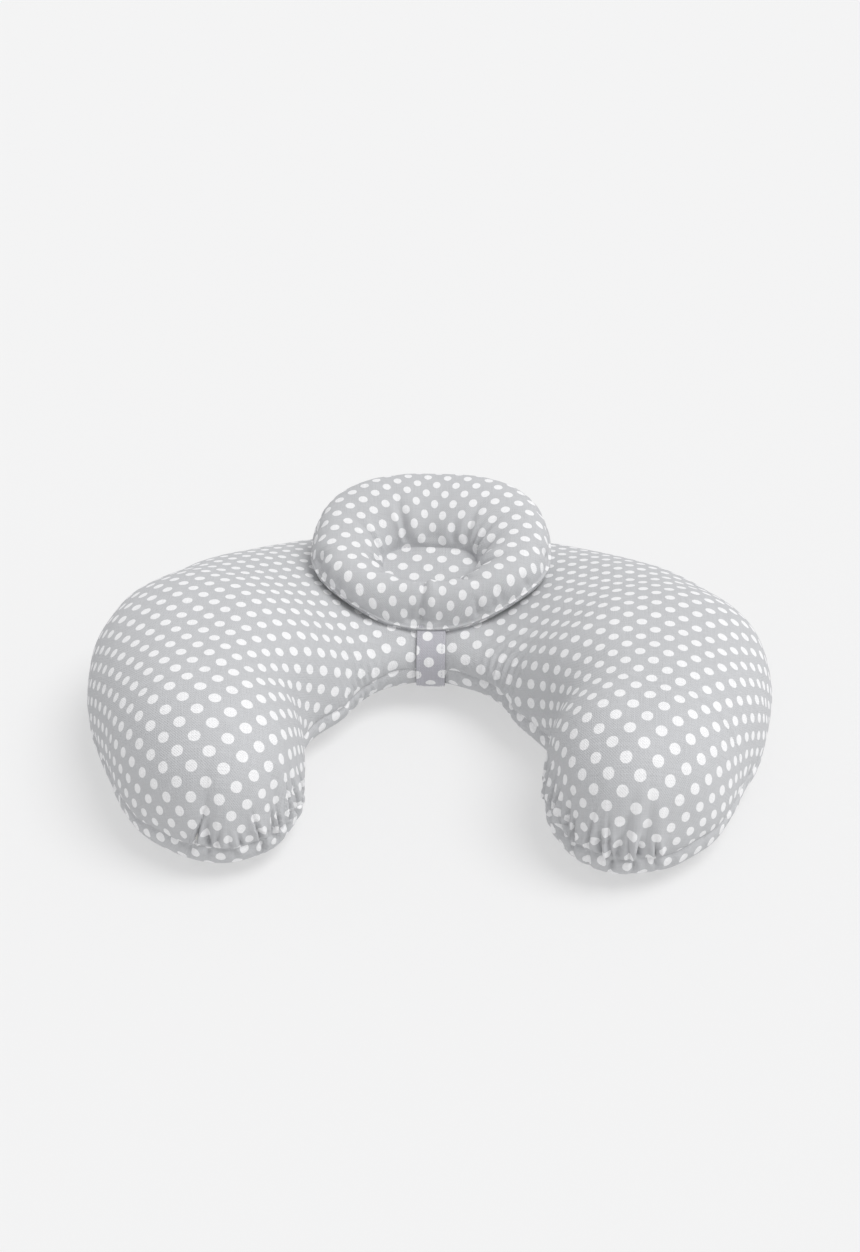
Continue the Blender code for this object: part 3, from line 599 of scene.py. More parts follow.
DISH_THICKNESS = 0.004
HEAD_CLEARANCE = 0.0012
DISH_SQUARENESS = 3.4, 2.3      # of its rear and front halves
ARCH = 2.15                     # exponent of the ring's arch
LIP_PATH = ((0.55, -0.0008), (0.95, -0.0005), (1.0, 0.0002), (0.92, 0.0008), (0.5, 0.0011))
LIP_ROWS = len(LIP_PATH)        # each is the share of the lip it stands out, and its rise
# Puckers as (count, half widths, reaches, depths), in radians, shares of the ring and shares of the depth
DISH_PUCKERS = (36, (0.035, 0.10), (0.10, 0.42), (0.4, 1.0))
EDGE_PUCKERS = (46, (0.02, 0.045), (0.04, 0.16), (0.2, 0.6))
PUCKER_SEED = 23
PLEAT_TURN = math.radians(268.0)    # the pleat that runs from the dish to the strap
HEAD_LUMP, HEAD_LUMP_LENGTH = 0.0008, 0.07
HEAD_CELLS = (640, 76, 26)      # columns, rings of the padding and rings of the dish
FIBRE_CELLS = (120, 30, 10)
FIBRE_INSET = 0.0045
HEAD_SHIFT = (0.12, 0.30)       # where its panels were cut from the printed cloth, in pitches


def crest_height(size, radius, angle):
    """Height of the crescent's upper surface at a radius from the arc's axis and an angle."""
    half = np.where(radius > size.arc_radius, size.outer_half_width, size.back_inner_half_width)
    share = np.clip(np.abs(radius - size.arc_radius) / half, 0.0, 1.0)
    to_arm = smooth(np.abs(angle), size.back_angle, size.full_angle)
    crown = mix(size.back_height, size.arm_height, to_arm) - SEAM_Z
    return SEAM_Z + crown * (1.0 - share ** size.roundness) ** (1.0 / size.roundness)


def head_sheet(head, size, x, y):
    """Height of the cushion's seam and middle sheet: it follows the crest and climbs to the rear. y is
    measured from the crescent's centreline. Also gives the share of the way from front to rear."""
    front = head.offset - head.half_depth
    back = (y - front) / (2.0 * head.half_depth)
    crest = crest_height(size, np.hypot(x, y + size.arc_radius), np.arctan2(x, y + size.arc_radius))
    return crest + mix(head.front_rise, head.rear_rise, back * np.abs(back)), back, crest


def oval(half_width, half_depth, turn, exponent):
    """A superellipse about the origin."""
    x, y = (power(wave(turn), 2.0 / exponent) for wave in (np.cos, np.sin))
    return np.stack([half_width * x, half_depth * y], axis=-1)


def head_outlines(head, turn):
    """Plan of the dish's stitched line, about its own middle, and of the edge seam: superellipses."""
    rear = np.sin(turn) > 0
    dish = oval(head.dish_half_width, head.dish_half_depth, turn, np.where(rear, *DISH_SQUARENESS))
    seam = oval(head.half_width, head.half_depth, turn, np.where(rear, head.rear_squareness, head.squareness))
    return dish, seam + np.array([0.0, head.offset])


def head_face(head, size, turn, rings, dish_rings, side, inset):
    """One face of the cushion, from its middle out to the edge seam: a flat stitched-down dish, then a
    ring that arches as half an ellipse does. The underside is pressed onto the crescent."""
    dish, seam = head_outlines(head, turn)
    seam = seam * (1.0 - 2.5 * inset / head.half_width)
    middle = np.array([0.0, head.dish_offset])
    dish = middle + dish * (1.0 + 2.0 * inset / head.dish_half_depth)
    inner = np.linspace(0.0, 1.0, dish_rings, endpoint=False)[:, None, None]
    q = (0.5 - 0.5 * np.cos(math.pi * np.linspace(0.0, 1.0, rings)))[:, None]
    plan = np.concatenate([middle + inner * (dish - middle), dish + q[..., None] * (seam - dish)])
    q = np.concatenate([np.zeros((dish_rings, 1)), q])
    x, y = plan[..., 0], plan[..., 1]
    sheet, back, crest = head_sheet(head, size, x, y)
    arch = np.clip(1.0 - np.abs(2.0 * q - 1.0) ** ARCH, 0.0, 1.0) ** (1.0 / ARCH)
    half = (DISH_THICKNESS / 2 - 0.35 * inset) * (1.0 - q)
    if side > 0:
        bulge = (head.ring_top - inset + head.ring_top_rear * np.clip(back, 0, 1)) * arch + half
    else:
        below = head.ring_bottom - inset + head.ring_bottom_rear * np.clip(back, 0, 1)
        bulge = np.minimum(below * arch + half, sheet - crest - HEAD_CLEARANCE - inset)
    return np.stack([x, y, sheet + side * bulge], axis=-1), q


def head_surface(head, size, columns, rings, dish_rings, inset=0.0):
    """The whole cushion as one grid, from the underside's middle round the seam to the top's middle."""
    turn = np.linspace(0.0, FULL_TURN, columns, endpoint=False)
    under, _ = head_face(head, size, turn, rings // 2, dish_rings // 2, -1, inset)
    top, q_top = head_face(head, size, turn, rings, dish_rings, 1, inset)
    _, seam = head_outlines(head, turn)
    along = unit(np.roll(seam, -1, axis=0) - np.roll(seam, 1, axis=0))
    outward = np.stack([along[:, 1], -along[:, 0], np.zeros(columns)], axis=-1)
    edge = top[-1]
    lip = np.stack([
        edge + outward * head.lip * reach + np.array([0.0, 0.0, rise])
        for reach, rise in LIP_PATH
    ])
    points = np.concatenate([under[:-1], lip, top[-2::-1]])
    return points, turn, len(under) - 1, q_top


def random_puckers(rng, count, *ranges):
    """Puckers at random turns, each with a random half width, reach and depth within their ranges."""
    for _ in range(count):
        yield rng.uniform(0, FULL_TURN), *(rng.uniform(*between) for between in ranges)


def head_relief(head, points, turn, seam_row, q_top):
    """Puckers that run out from the dish's stitches and in from the edge seam, on the top face, and the
    pleat: each a valley that fades with the share q of the way from the dish to the seam."""
    top = points[seam_row + LIP_ROWS:]
    q = q_top[:-1][::-1]
    rng = np.random.default_rng(PUCKER_SEED)
    total = np.zeros(top.shape[:-1])
    for start, width, reach, depth in random_puckers(rng, *DISH_PUCKERS):
        t = turned_from(turn, start) / (width * (1.0 + 1.5 * q))
        shape = 0.35 * bell(np.abs(t) - RIDGE_PLACE, 1.2) - bell(t, 1.0, 1.6)
        total += depth * shape * bell(q, reach) * smooth(q, 0.0, 0.02)
    for start, width, reach, depth in random_puckers(rng, *EDGE_PUCKERS):
        total -= depth * bell(turned_from(turn, start), width) * bell(1.0 - q, reach) \
            * smooth(1.0 - q, 0.0, 0.01)
    pleat = turned_from(turn, PLEAT_TURN)
    total -= bell(pleat, 0.017, 1.4) * smooth(q, 0.02, 0.25)
    total += 0.45 * bell(pleat - 0.05, 0.03) * smooth(q, 0.05, 0.4)
    return total * head.pucker_depth


def head_flat(points, middle_y):
    """Cloth places of a round panel: straight out from its middle, as far as the surface runs."""
    reach = running_length(points, 0)
    plan = points[..., :2] - np.array([0.0, middle_y])
    direction = unit(plan)
    direction[0] = direction[1]
    return direction * reach[..., None]


class PILLOW_OT_head_cushion(bpy.types.Operator):
    """Builds the head cushion with its stitched-down dish and edge seam."""

    bl_idname = "pillow.head_cushion"
    bl_label = "Head Cushion"

    def execute(self, context):
        scene = context.scene
        head, size, cloth = scene.pillow_head, scene.pillow_crescent, scene.pillow_print
        points, turn, seam_row, q_top = head_surface(head, size, *HEAD_CELLS)
        top_row = seam_row + LIP_ROWS
        relief = head_relief(head, points, turn, seam_row, q_top)
        out = outward(points)
        out[[0, -1]] = np.array([0.0, 0.0, 1.0])
        lumps = HEAD_LUMP * waves(points, HEAD_LUMP_LENGTH, seed=8)
        moved = points.copy()
        moved[top_row:] += out[top_row:] * (relief + lumps[top_row:])[..., None]
        edge = seam_row + LIP_ROWS // 2
        top = head_flat(points[edge:][::-1], head.dish_offset)[::-1]
        under = head_flat(points[:edge + 1], head.dish_offset)
        places = np.concatenate([under, top[1:]])
        places = np.concatenate([places, places[:, :1]], axis=1) + np.array(HEAD_SHIFT) * cloth.pitch
        middle = np.array([head.sideways, AXIS_Y + size.arc_radius])
        moved[..., :2] += middle
        cushion = ring_grid(
            "head_cushion_cover", moved, [places], printed_cotton("printed_cotton_poplin", cloth))
        finish_piece(cushion, "head_cushion", "dotted_cotton", "head_cushion_top", "head_cushion_bottom")
        inner = head_surface(head, size, *FIBRE_CELLS, FIBRE_INSET)[0]
        inner[..., :2] += middle
        flat = np.concatenate([inner, inner[:, :1]], axis=1)[..., :2]
        filling = ring_grid("head_cushion_fibre", inner, [flat], fibre_wadding())
        finish_piece(filling, "head_cushion", "hollow_fibre", "head_filling_ring", "head_centre_wadding")
        dish = head_outlines(head, np.linspace(0.0, FULL_TURN, 1200))[0] + np.array([0.0, head.dish_offset])
        height = head_sheet(head, size, dish[:, 0], dish[:, 1])[0] + DISH_THICKNESS / 2
        line = np.concatenate([dish + middle, height[:, None]], axis=-1)
        up = np.tile([0.0, 0.0, 1.0], (len(line), 1))
        seam = stitch_line("dish_stitching", line, up, sewing_thread())
        finish_piece(seam, "head_cushion", "dotted_cotton")
        return {"FINISHED"}


# ---- stitches ----------------------------------------------------------------------------------
STITCH_PITCH = 0.0034
STITCH_LENGTH = 0.0026
STITCH_WIDTH = 0.0006


def stitch_line(name, line, out, material):
    """Stitches along a line of points: beads one pitch apart, half sunk into the cloth."""
    along = running_length(line, 0)
    count = int(along[-1] / STITCH_PITCH)
    at = (np.arange(count) + 0.5) * along[-1] / count
    place, ahead, behind = (walk(line, along, at + step) for step in (0.0, 0.0005, -0.0005))
    forward = unit(ahead - behind)
    side = unit(np.cross(walk(out, along, at), forward))
    stitch = bead(STITCH_LENGTH, STITCH_WIDTH, STITCH_WIDTH, 2.0)
    return scatter(name, stitch, place, forward, side, np.cross(forward, side), material)


# ---- strap -------------------------------------------------------------------------------------
class PILLOW_PG_strap(bpy.types.PropertyGroup):
    """Sizes of the strap."""

    width: metres("Width", 0.0255, "Across the band")
    thickness: metres("Thickness", 0.0018, "Of the folded band")
    clearance: metres("Clearance", 0.0009, "Between the crescent and the band")
    stitch_inset: metres("Stitch inset", 0.0028, "From an edge to its topstitching")


def offset_path(size, turns, outset):
    """Radius and height at a distance outside the back's section, along the section's own normal."""
    step = 1e-3
    zero = np.zeros_like(turns)
    here, before, after = (
        np.stack(section(size, zero, zero, turns + ahead), axis=-1) for ahead in (0.0, -step, step))
    along = unit(after - before)
    return here + outset * np.stack([along[:, 1], -along[:, 0]], axis=-1)


def even_path(path, count):
    """The same path with evenly spaced points."""
    along = running_length(path, 0)
    return walk(path, along, np.linspace(0.0, along[-1], count))


STITCH_SINK = 0.34      # height of the topstitching above the band's middle, over its thickness
CLOTH_EDGE = 0.004      # where the band was cut from the printed cloth
STRAP_TURNS = 139.0, 357.0      # in degrees: from the cushion's front seam, under the back, to the rear
FLAP_TURNS = 2.0, 38.0
PATCH_CLEARANCE = 0.0003
FLAP_FOOT = 0.004       # the flap turns upright this far below the hook patch


def band(name, path, strap, material):
    """A sewn band carried along a (radius, height) path across the arc: its section is a flat
    superellipse with a groove under each row of topstitching, and it bends with the arc. Gives the
    object and the two lines of stitching with their outward directions."""
    along = unit(np.gradient(path, axis=0))
    out = np.stack([along[:, 1], -along[:, 0]], axis=-1)
    turn = np.linspace(0.0, FULL_TURN, 56, endpoint=False)
    across = strap.width / 2 * power(np.cos(turn), 2.0 / 7.0)
    groove = bell(strap.width / 2 - np.abs(across) - strap.stitch_inset, 0.0008)
    lift = strap.thickness / 2 * power(np.sin(turn), 2.0 / 3.0) * (1.0 - 0.35 * groove)
    radius = path[:, :1] + out[:, :1] * lift
    height = path[:, 1:] + out[:, 1:] * lift
    angle = np.arcsin(across[None, :] / radius)
    length = running_length(path, 0)
    places = np.stack(np.broadcast_arrays(across[None, :] + CLOTH_EDGE, length[:, None]), axis=-1)
    obj = closed_strip(name, from_axis(radius, angle, height), places, material)
    lines = []
    for side in (-1.0, 1.0):
        x = side * (strap.width / 2 - strap.stitch_inset)
        r, z = (path + out * strap.thickness * STITCH_SINK).T
        a = np.arcsin(x / r)
        line = from_axis(r, a, z)
        away = np.stack([out[:, 0] * np.sin(a), out[:, 0] * np.cos(a), out[:, 1]], axis=-1)
        lines.append((line, away))
    return obj, lines


class PILLOW_OT_strap(bpy.types.Operator):
    """Builds the strap, its rear flap and their topstitching, and finishes the touch fastener."""

    bl_idname = "pillow.strap"
    bl_label = "Strap"

    def execute(self, context):
        scene = context.scene
        strap, size, cloth = scene.pillow_strap, scene.pillow_crescent, scene.pillow_print
        material = printed_cotton("printed_cotton_strap", cloth, strap_tint=True)
        middle = strap.clearance + strap.thickness / 2
        turns = np.radians(np.linspace(*STRAP_TURNS, 500))
        front = even_path(offset_path(size, turns, middle), 190)
        _, flap_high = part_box("strap_rear_flap")
        hook_low, hook_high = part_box("hook_patch")
        face = hook_high.y - AXIS_Y + PATCH_CLEARANCE + strap.thickness / 2
        rise = offset_path(size, np.radians(np.linspace(*FLAP_TURNS, 80)), middle)
        climb = np.stack([np.full(60, face), np.linspace(hook_low.z - FLAP_FOOT, flap_high.z, 60)], axis=-1)
        rear = soften(even_path(np.concatenate([rise, climb]), 150), 9)
        thread = sewing_thread()
        for name, path, body, nodes in (
            ("strap_front", front, "strap", ("strap_front_wrap",)),
            ("strap_flap_band", rear, "strap_flap", ("strap_rear_flap",)),
        ):
            obj, lines = band(name, path, strap, material)
            finish_piece(obj, body, "dotted_cotton", *nodes)
            for number, (line, away) in enumerate(lines, 1):
                stitches = stitch_line(f"{name}_topstitch_{number}", line, away, thread)
                finish_piece(stitches, body, "dotted_cotton")
        paint("hook_patch", hook_tape())
        paint("loop_patch", loop_tape())
        return {"FINISHED"}


def soften(path, reach):
    """A path with its corners rounded by a running mean; its ends stay where they are."""
    padded = np.pad(path, ((reach, reach), (0, 0)), mode="reflect", reflect_type="odd")
    kernel = np.ones(2 * reach + 1) / (2 * reach + 1)
    return np.stack([np.convolve(padded[:, k], kernel, mode="valid") for k in range(2)], axis=-1)


# ---- zip and label -----------------------------------------------------------------------------
class PILLOW_PG_zip(bpy.types.PropertyGroup):
    """Sizes of the zip's teeth and of the label."""

    tooth_pitch: metres("Tooth pitch", 0.0024, "Between teeth on one tape")
    tooth_width: metres("Tooth width", 0.0013, "Of one tooth along the zip")
    label_curl: metres("Label curl", 0.004, "How far the label's foot stands away")


TOOTH_HEIGHT, TOOTH_DEPTH = 0.0030, 0.0017
TOOTH_REACH = 0.0004        # how far each row reaches towards the other
LABEL_HALF_THICKNESS = 0.0004
LABEL_WAVER = 0.0009


class PILLOW_OT_zip(bpy.types.Operator):
    """Builds the zip's teeth and finishes its tapes, slider and stops."""

    bl_idname = "pillow.zip"
    bl_label = "Zip"

    def execute(self, context):
        settings = context.scene.pillow_zip
        low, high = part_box("zip_teeth_upper")
        under_low, under_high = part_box("zip_teeth_lower")
        corner = np.array([[p.x, p.y - AXIS_Y] for p in node_points("zip_teeth_upper")])
        angles = np.arctan2(corner[:, 0], corner[:, 1])
        radii = np.hypot(corner[:, 0], corner[:, 1])
        radius = (radii.min() + radii.max()) / 2
        start, end = angles.max(), angles.min()
        count = int((start - end) * radius / settings.tooth_pitch)
        step = (start - end) / count
        tooth = bead(settings.tooth_width, TOOTH_HEIGHT, TOOTH_DEPTH, 4.0, 6, 12)
        nylon = moulded_nylon()
        for name, node, z, shift in (
            ("zip_teeth_row_upper", "zip_teeth_upper", (low.z + high.z) / 2 - TOOTH_REACH, 0.25),
            ("zip_teeth_row_lower", "zip_teeth_lower", (under_low.z + under_high.z) / 2 + TOOTH_REACH, 0.75),
        ):
            angle = start - (np.arange(count) + shift) * step
            place = from_axis(radius, angle, z)
            out = np.stack([np.sin(angle), np.cos(angle), np.zeros(count)], axis=-1)
            up = np.tile([0.0, 0.0, 1.0], (count, 1))
            teeth = scatter(name, tooth, place, np.cross(up, out), up, out, nylon)
            finish_piece(teeth, "pillow", "zip_teeth", node)
        for node in ("zip_tape_upper", "zip_tape_lower"):
            paint(node, woven_tape())
        for node in ("zip_slider", "zip_pull_tab", "zip_stop_start", "zip_stop_end"):
            paint(node, plated_zinc())
        return {"FINISHED"}


class PILLOW_OT_label(bpy.types.Operator):
    """Builds the blank care label in the outer seam."""

    bl_idname = "pillow.label"
    bl_label = "Care Label"

    def execute(self, context):
        low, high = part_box("care_label")
        angle = math.atan2((low.x + high.x) / 2, (low.y + high.y) / 2 - AXIS_Y)
        corners_seen = [(p.x, p.y - AXIS_Y) for p in node_points("care_label")]
        radius = max(math.hypot(x, y) for x, y in corners_seen)
        width = 2.0 * max(abs(x * math.cos(angle) - y * math.sin(angle)) for x, y in corners_seen)
        drop = np.linspace(0.0, 1.0, 40)[:, None]
        turn = np.linspace(0.0, FULL_TURN, 48, endpoint=False)[None, :]
        across = width / 2 * power(np.cos(turn), 2.0 / 12.0) + 0 * drop
        thick = LABEL_HALF_THICKNESS * power(np.sin(turn), 2.0 / 2.5)
        curl = context.scene.pillow_zip.label_curl
        stand = curl * smooth(drop, 0.2, 1.0) + LABEL_WAVER * np.sin(across / width * math.pi * 1.3) * drop
        out = radius - 0.0002 + stand + thick
        z = high.z - (high.z - low.z) * drop + 0 * turn
        x = out * math.sin(angle) + across * math.cos(angle)
        y = out * math.cos(angle) - across * math.sin(angle) + AXIS_Y
        places = np.stack(np.broadcast_arrays(across, drop * (high.z - low.z)), axis=-1)
        label = closed_strip("care_label_satin", np.stack([x, y, z], axis=-1), places, satin_ribbon())
        finish_piece(label, "pillow", "satin_label", "care_label")
        return {"FINISHED"}


def node_points(node):
    """A CAD node's vertices."""
    return [v.co for v in frame["nodes"][node].data.vertices]


# ---- finishing pieces --------------------------------------------------------------------------
def finish_piece(obj, body, slot, *nodes):
    """Rides a piece on its body and hides the CAD nodes that it stands for; the slot it is given is not used.
    """
    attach(obj, body)
    if nodes:
        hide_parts(*nodes)
    if obj.data.polygons[0].area <= 0:
        raise RuntimeError(f"{obj.name} has an empty face")


def paint(node, material):
    """Gives a CAD node a better material."""
    for place in frame["nodes"][node].material_slots:
        place.link = "OBJECT"
        place.material = material


# ---- materials ---------------------------------------------------------------------------------
class PILLOW_PG_print(bpy.types.PropertyGroup):
    """The printed cloth."""

    ground: tint("Ground", "#C3C4C6", "Colour of the cloth between the dots")
    dot: tint("Dot", "#F2F2F3", "Colour of the dots")
    pitch: metres("Pitch", 0.0236, "Between dots along a row")
    dot_share: number("Dot share", 0.385, "Dot diameter over the pitch")
    top_shift: vector("Top shift", (0.0, 0.0), "Where the top panel was cut from the printed cloth", size=2)
    turn: degrees("Turn", 4.0, "How far the rows are turned on the panels")
    thread: metres("Thread spacing", 0.0011, "Drawn spacing of the weave, three times the real one")


def add(tree, kind, inputs=None, **settings):
    """Adds a node with its settings. inputs maps a socket's name or number to a value, or to the output
    socket that is linked to it."""
    node = tree.nodes.new(kind)
    for name, value in settings.items():
        setattr(node, name, value)
    for key, value in (inputs or {}).items():
        if isinstance(value, bpy.types.NodeSocket):
            tree.links.new(value, node.inputs[key])
        else:
            node.inputs[key].default_value = value
    return node


def vector_math(tree, operation, *values):
    """The result of a vector maths node on these values or sockets."""
    node = add(tree, "ShaderNodeVectorMath", dict(enumerate(values)), operation=operation)
    return node.outputs["Value" if operation == "LENGTH" else "Vector"]


def scalar_math(tree, operation, *values):
    """The result of a maths node on these values or sockets."""
    return add(tree, "ShaderNodeMath", dict(enumerate(values)), operation=operation).outputs[0]


def map_range(tree, value, from_range, to_range=(0.0, 1.0), **settings):
    """A value carried from one range to another and kept inside it."""
    return add(tree, "ShaderNodeMapRange", {
        "Value": value, "From Min": from_range[0], "From Max": from_range[1],
        "To Min": to_range[0], "To Max": to_range[1]}, **settings).outputs[0]


def new_material(name, **sockets):
    """A material whose Principled shader has these socket values; gives it, its tree and the shader."""
    made = bpy.data.materials.new(name)
    made.use_nodes = True
    shader = made.node_tree.nodes["Principled BSDF"]
    for key, value in sockets.items():
        shader.inputs[key.replace("_", " ")].default_value = value
    return made, made.node_tree, shader


def weave_bump(tree, place, spacing, depth, slub):
    """Bump of a plain weave: the product of two sines one thread apart, roughened by slubs in the yarn."""
    scaled = vector_math(tree, "MULTIPLY", place, (math.pi / spacing,) * 3)
    split = add(tree, "ShaderNodeSeparateXYZ", {0: scaled})
    warp, weft = (scalar_math(tree, "SINE", split.outputs[k]) for k in range(2))
    cross = scalar_math(tree, "MULTIPLY", warp, weft)
    rough = scalar_math(tree, "MULTIPLY_ADD", slub, 1.6, cross)
    return add(tree, "ShaderNodeBump", {"Strength": 1.0, "Distance": depth, "Height": rough}).outputs[0]


STRAP_TINT = (0.90, 0.88, 0.93)
PRINT_JITTER = 0.0006       # how far a dot's edge strays along the threads
STREAK_SCALES = 1400.0, 45.0    # across and along a yarn, per metre
DOT_EDGE = 0.014            # softness of a dot's edge, over the printed cell


def printed_cotton(name, cloth, strap_tint=False):
    """Cotton poplin, plain woven from fine yarn and pigment printed: matt, with a faint yarn streak both
    ways, a barely raised weave, and dots whose edge follows the threads. Made once for each name."""
    if name in bpy.data.materials:
        return bpy.data.materials[name]
    ground = tuple(cloth.ground)
    if strap_tint:
        ground = tuple(c * t for c, t in zip(ground, STRAP_TINT))
    made, tree, shader = new_material(name, Roughness=0.86, Sheen_Weight=0.12, Sheen_Roughness=0.5)
    place = add(tree, "ShaderNodeUVMap", uv_map="cloth").outputs[0]
    cell = cloth.pitch / math.sqrt(2.0)
    jitter = add(tree, "ShaderNodeTexNoise", {"Vector": place, "Scale": 900.0, "Detail": 1.0},
                 noise_dimensions="2D")
    nudge = vector_math(tree, "SUBTRACT", jitter.outputs["Color"], (0.5, 0.5, 0.5))
    nudge = vector_math(tree, "MULTIPLY", nudge, (PRINT_JITTER, PRINT_JITTER, 0.0))
    turned = add(tree, "ShaderNodeMapping", {
        "Vector": vector_math(tree, "ADD", place, nudge),
        "Rotation": (0.0, 0.0, math.pi / 4 + cloth.turn), "Scale": (1.0 / cell, 1.0 / cell, 0.0)})
    part = vector_math(tree, "FRACTION", turned.outputs[0])
    length = vector_math(tree, "LENGTH", vector_math(tree, "SUBTRACT", part, (0.5, 0.5, 0.0)))
    radius = cloth.dot_share * cloth.pitch / 2 / cell
    dot = map_range(tree, length, (radius + DOT_EDGE, radius - DOT_EDGE), interpolation_type="SMOOTHSTEP")
    streaks = []
    for stretch in (STREAK_SCALES, STREAK_SCALES[::-1]):
        long_way = add(tree, "ShaderNodeMapping", {"Vector": place, "Scale": (*stretch, 1.0)})
        streaks.append(add(tree, "ShaderNodeTexNoise", {
            "Vector": long_way.outputs[0], "Scale": 1.0, "Detail": 2.0}, noise_dimensions="2D").outputs[0])
    slub = scalar_math(tree, "ADD", *streaks)
    tone = map_range(tree, slub, (0.6, 1.4), (0.93, 1.07))
    colour = add(tree, "ShaderNodeMix", {
        "Factor": dot, 6: (*ground, 1.0), 7: (*cloth.dot, 1.0)}, data_type="RGBA").outputs[2]
    tree.links.new(vector_math(tree, "MULTIPLY", colour, tone), shader.inputs["Base Color"])
    tree.links.new(weave_bump(tree, place, cloth.thread, 0.00016, slub), shader.inputs["Normal"])
    return made


def object_weave(name, colour, spacing, depth, contrast, **sockets):
    """A woven cloth or tape drawn on object coordinates, with a soft uneven tone."""
    if name in bpy.data.materials:
        return bpy.data.materials[name]
    made, tree, shader = new_material(name, **sockets)
    place = add(tree, "ShaderNodeTexCoord").outputs["Object"]
    noise = add(tree, "ShaderNodeTexNoise", {
        "Vector": place, "Scale": 0.6 / spacing, "Detail": 3.0}).outputs[0]
    tone = map_range(tree, noise, (0.3, 0.7), (1.0 - contrast, 1.0 + contrast))
    tree.links.new(vector_math(tree, "MULTIPLY", colour, tone), shader.inputs["Base Color"])
    tree.links.new(weave_bump(tree, place, spacing, depth, noise), shader.inputs["Normal"])
    return made


def plain_cotton():
    """White percale lining: a plain weave, matt and slightly see-through in real life."""
    return object_weave("cotton_percale_lining", linear("#EFEEEA"), 0.0012, 0.0001, 0.02, Roughness=0.85)


def fibre_wadding():
    """Hollow polyester fibre, carded and fluffed: a soft white cloud with no clear threads."""
    return object_weave("hollow_polyester_fibre", linear("#F5F4F0"), 0.006, 0.0008, 0.05, Roughness=0.95,
                        Sheen_Weight=0.3)


def hook_tape():
    """Woven nylon tape with moulded hooks: a dense grid of tiny stiff points, slightly glossy."""
    return object_weave("nylon_hook_tape", linear("#A9AAB0"), 0.0013, 0.0004, 0.12, Roughness=0.5)


def loop_tape():
    """Brushed nylon loops: a fuzzy pile that scatters light at its edge."""
    return object_weave("nylon_loop_tape", linear("#B2B3B9"), 0.0010, 0.0003, 0.10, Roughness=0.95,
                        Sheen_Weight=0.5)


def woven_tape():
    """Polyester zip tape: a fine twill, flat and slightly darker than the cotton."""
    return object_weave("polyester_zip_tape", linear("#A5A6AC"), 0.0010, 0.00015, 0.05, Roughness=0.8)


def sewing_thread():
    """Spun polyester sewing thread: pale grey, twisted, with a slight lustre."""
    return object_weave("spun_polyester_thread", linear("#C9C9CE"), 0.0006, 0.00008, 0.05, Roughness=0.6)


def moulded_nylon():
    """Injection moulded zip teeth: smooth grey plastic with a soft highlight."""
    return object_weave("moulded_nylon_teeth", linear("#A7A8AD"), 0.004, 0.00002, 0.02, Roughness=0.42)


def satin_ribbon():
    """Woven polyester satin label: long floats that shine across the weave; it is blank."""
    return object_weave("polyester_satin_label", linear("#F2F2EF"), 0.0005, 0.00005, 0.02, Roughness=0.42,
                        Sheen_Weight=0.2)


def plated_zinc():
    """Die-cast zinc, nickel plated and tumbled: satin metal with faint tumbling marks."""
    name = "nickel_plated_zinc"
    if name in bpy.data.materials:
        return bpy.data.materials[name]
    made, tree, shader = new_material(name, Metallic=1.0, Base_Color=(*linear("#C4C4C2"), 1.0))
    place = add(tree, "ShaderNodeTexCoord").outputs["Object"]
    marks = add(tree, "ShaderNodeTexNoise", {"Vector": place, "Scale": 1500.0, "Detail": 4.0})
    rough = map_range(tree, marks.outputs[0], (0.0, 1.0), (0.26, 0.42))
    tree.links.new(rough, shader.inputs["Roughness"])
    bump = add(tree, "ShaderNodeBump", {"Strength": 0.3, "Distance": 0.00003, "Height": marks.outputs[0]})
    tree.links.new(bump.outputs[0], shader.inputs["Normal"])
    return made


# ---- stage -------------------------------------------------------------------------------------
class PILLOW_PG_stage(bpy.types.PropertyGroup):
    """Camera, floor and light."""

    azimuth: degrees("Azimuth", 1.46, "Camera's turn from the open side, towards +X")
    elevation: degrees("Elevation", 31.7, "Camera's height angle")
    distance: metres("Distance", 1.606, "Camera to target")
    roll: degrees("Roll", 0.45, "Camera's turn about its own line of sight")
    lens: number("Lens", 50.0, "Focal length in millimetres")
    target: vector("Target", (-0.0024, 0.0681, 0.05), "Point the camera looks at", subtype="XYZ")
    floor: tint("Floor", "#ABABAB", "Colour of the floor in the key light")
    floor_glow: number("Floor glow", 0.445, "Light from inside the floor")
    sky_strength: number("Sky strength", 0.54, "Light from above")
    horizon_strength: number("Horizon strength", 0.88, "Light from the sides")
    key_strength: number("Key strength", 1.75, "Light of the large softbox")
    key_from: vector(
        "Key from", (0.50, -0.05, 1.0), "Direction that the key light comes from", subtype="DIRECTION")
    key_spread: degrees("Key spread", 38.0, "Angle that the softbox fills")


FLOOR_REACH = 14.0


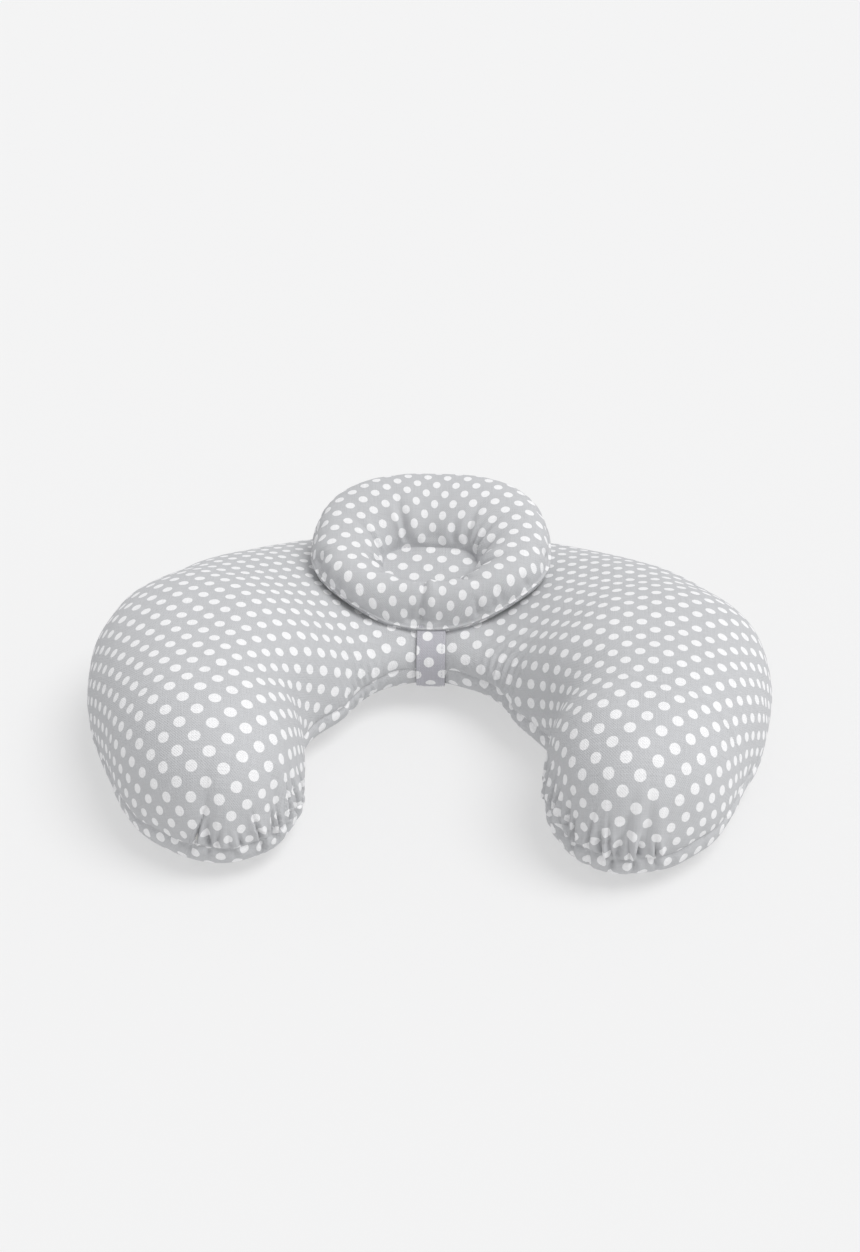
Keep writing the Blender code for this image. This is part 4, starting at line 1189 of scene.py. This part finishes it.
class PILLOW_OT_stage(bpy.types.Operator):
    """Builds the floor, the soft studio light and the camera."""

    bl_idname = "pillow.stage"
    bl_label = "Stage"

    def execute(self, context):
        scene = context.scene
        settings = scene.pillow_stage
        floor_material, _, _ = new_material(
            "back_lit_acrylic_floor", Roughness=0.95, Specular_IOR_Level=0.1,
            Emission_Strength=settings.floor_glow, Emission_Color=(1.0, 1.0, 1.0, 1.0),
            Base_Color=(*settings.floor, 1.0))
        sides = (-FLOOR_REACH, FLOOR_REACH)
        grid = np.array([[(x, y, 0.0) for y in sides] for x in sides])
        faces = corners(np.arange(4).reshape(2, 2))[..., ::-1]
        floor = mesh_piece("floor", grid, faces, None, floor_material)
        light = bpy.data.lights.new("key_softbox", "SUN")
        light.angle = settings.key_spread
        light.energy = settings.key_strength
        lamp = bpy.data.objects.new("key_softbox", light)
        lamp.rotation_euler = Vector(settings.key_from).to_track_quat("Z", "Y").to_euler()
        scene.collection.objects.link(lamp)
        world = bpy.data.worlds.new("studio")
        world.use_nodes = True
        sky = world.node_tree.nodes["Background"]
        sky.inputs["Color"].default_value = (*linear("#FCFCFD"), 1.0)
        way = add(world.node_tree, "ShaderNodeTexCoord").outputs["Generated"]
        height = add(world.node_tree, "ShaderNodeSeparateXYZ", {0: way}).outputs["Z"]
        fade = map_range(
            world.node_tree, height, (0.0, 0.9), (settings.horizon_strength, settings.sky_strength))
        world.node_tree.links.new(fade, sky.inputs["Strength"])
        scene.world = world
        camera = bpy.data.objects.new("camera", bpy.data.cameras.new("camera"))
        camera.data.lens = settings.lens
        target = Vector(settings.target)
        flat = settings.distance * math.cos(settings.elevation)
        camera.location = target + Vector((
            flat * math.sin(settings.azimuth), -flat * math.cos(settings.azimuth),
            settings.distance * math.sin(settings.elevation)))
        look = (target - camera.location).to_track_quat("-Z", "Y")
        camera.rotation_euler = (look @ Quaternion((0.0, 0.0, 1.0), settings.roll)).to_euler()
        scene.collection.objects.link(camera)
        scene.camera = camera
        scene.view_settings.view_transform = "Standard"
        return {"FINISHED"}


# ---- panel and registration --------------------------------------------------------------------
class PILLOW_PT_panel(bpy.types.Panel):
    """Lists the pieces in the sidebar."""

    bl_idname = "PILLOW_PT_panel"
    bl_label = "Nursing Pillow"
    bl_space_type = "VIEW_3D"
    bl_region_type = "UI"
    bl_category = "Nursing Pillow"

    def draw(self, context):
        for operator in OPERATORS:
            self.layout.operator(operator.bl_idname)
        for name in GROUPS:
            group = getattr(context.scene, name)
            box = self.layout.box()
            box.label(text=name.replace("_", " ").title())
            for key in group.bl_rna.properties.keys():
                if key not in ("rna_type", "name"):
                    box.prop(group, key)


GROUPS = {
    "pillow_print": PILLOW_PG_print,
    "pillow_crescent": PILLOW_PG_crescent,
    "pillow_head": PILLOW_PG_head,
    "pillow_strap": PILLOW_PG_strap,
    "pillow_zip": PILLOW_PG_zip,
    "pillow_stage": PILLOW_PG_stage,
}
OPERATORS = (
    PILLOW_OT_stage, PILLOW_OT_cover, PILLOW_OT_head_cushion, PILLOW_OT_strap, PILLOW_OT_zip,
    PILLOW_OT_label,
)


def register():
    for cls in (*GROUPS.values(), *OPERATORS, PILLOW_PT_panel):
        bpy.utils.register_class(cls)
    for name, cls in GROUPS.items():
        setattr(bpy.types.Scene, name, PointerProperty(type=cls))


def unregister():
    for name in GROUPS:
        delattr(bpy.types.Scene, name)
    for cls in (PILLOW_PT_panel, *reversed(OPERATORS), *reversed(GROUPS.values())):
        bpy.utils.unregister_class(cls)


def main():
    register()
    for operator in OPERATORS:
        group, name = operator.bl_idname.split(".")
        getattr(getattr(bpy.ops, group), name)()


if __name__ == "__main__":
    main()
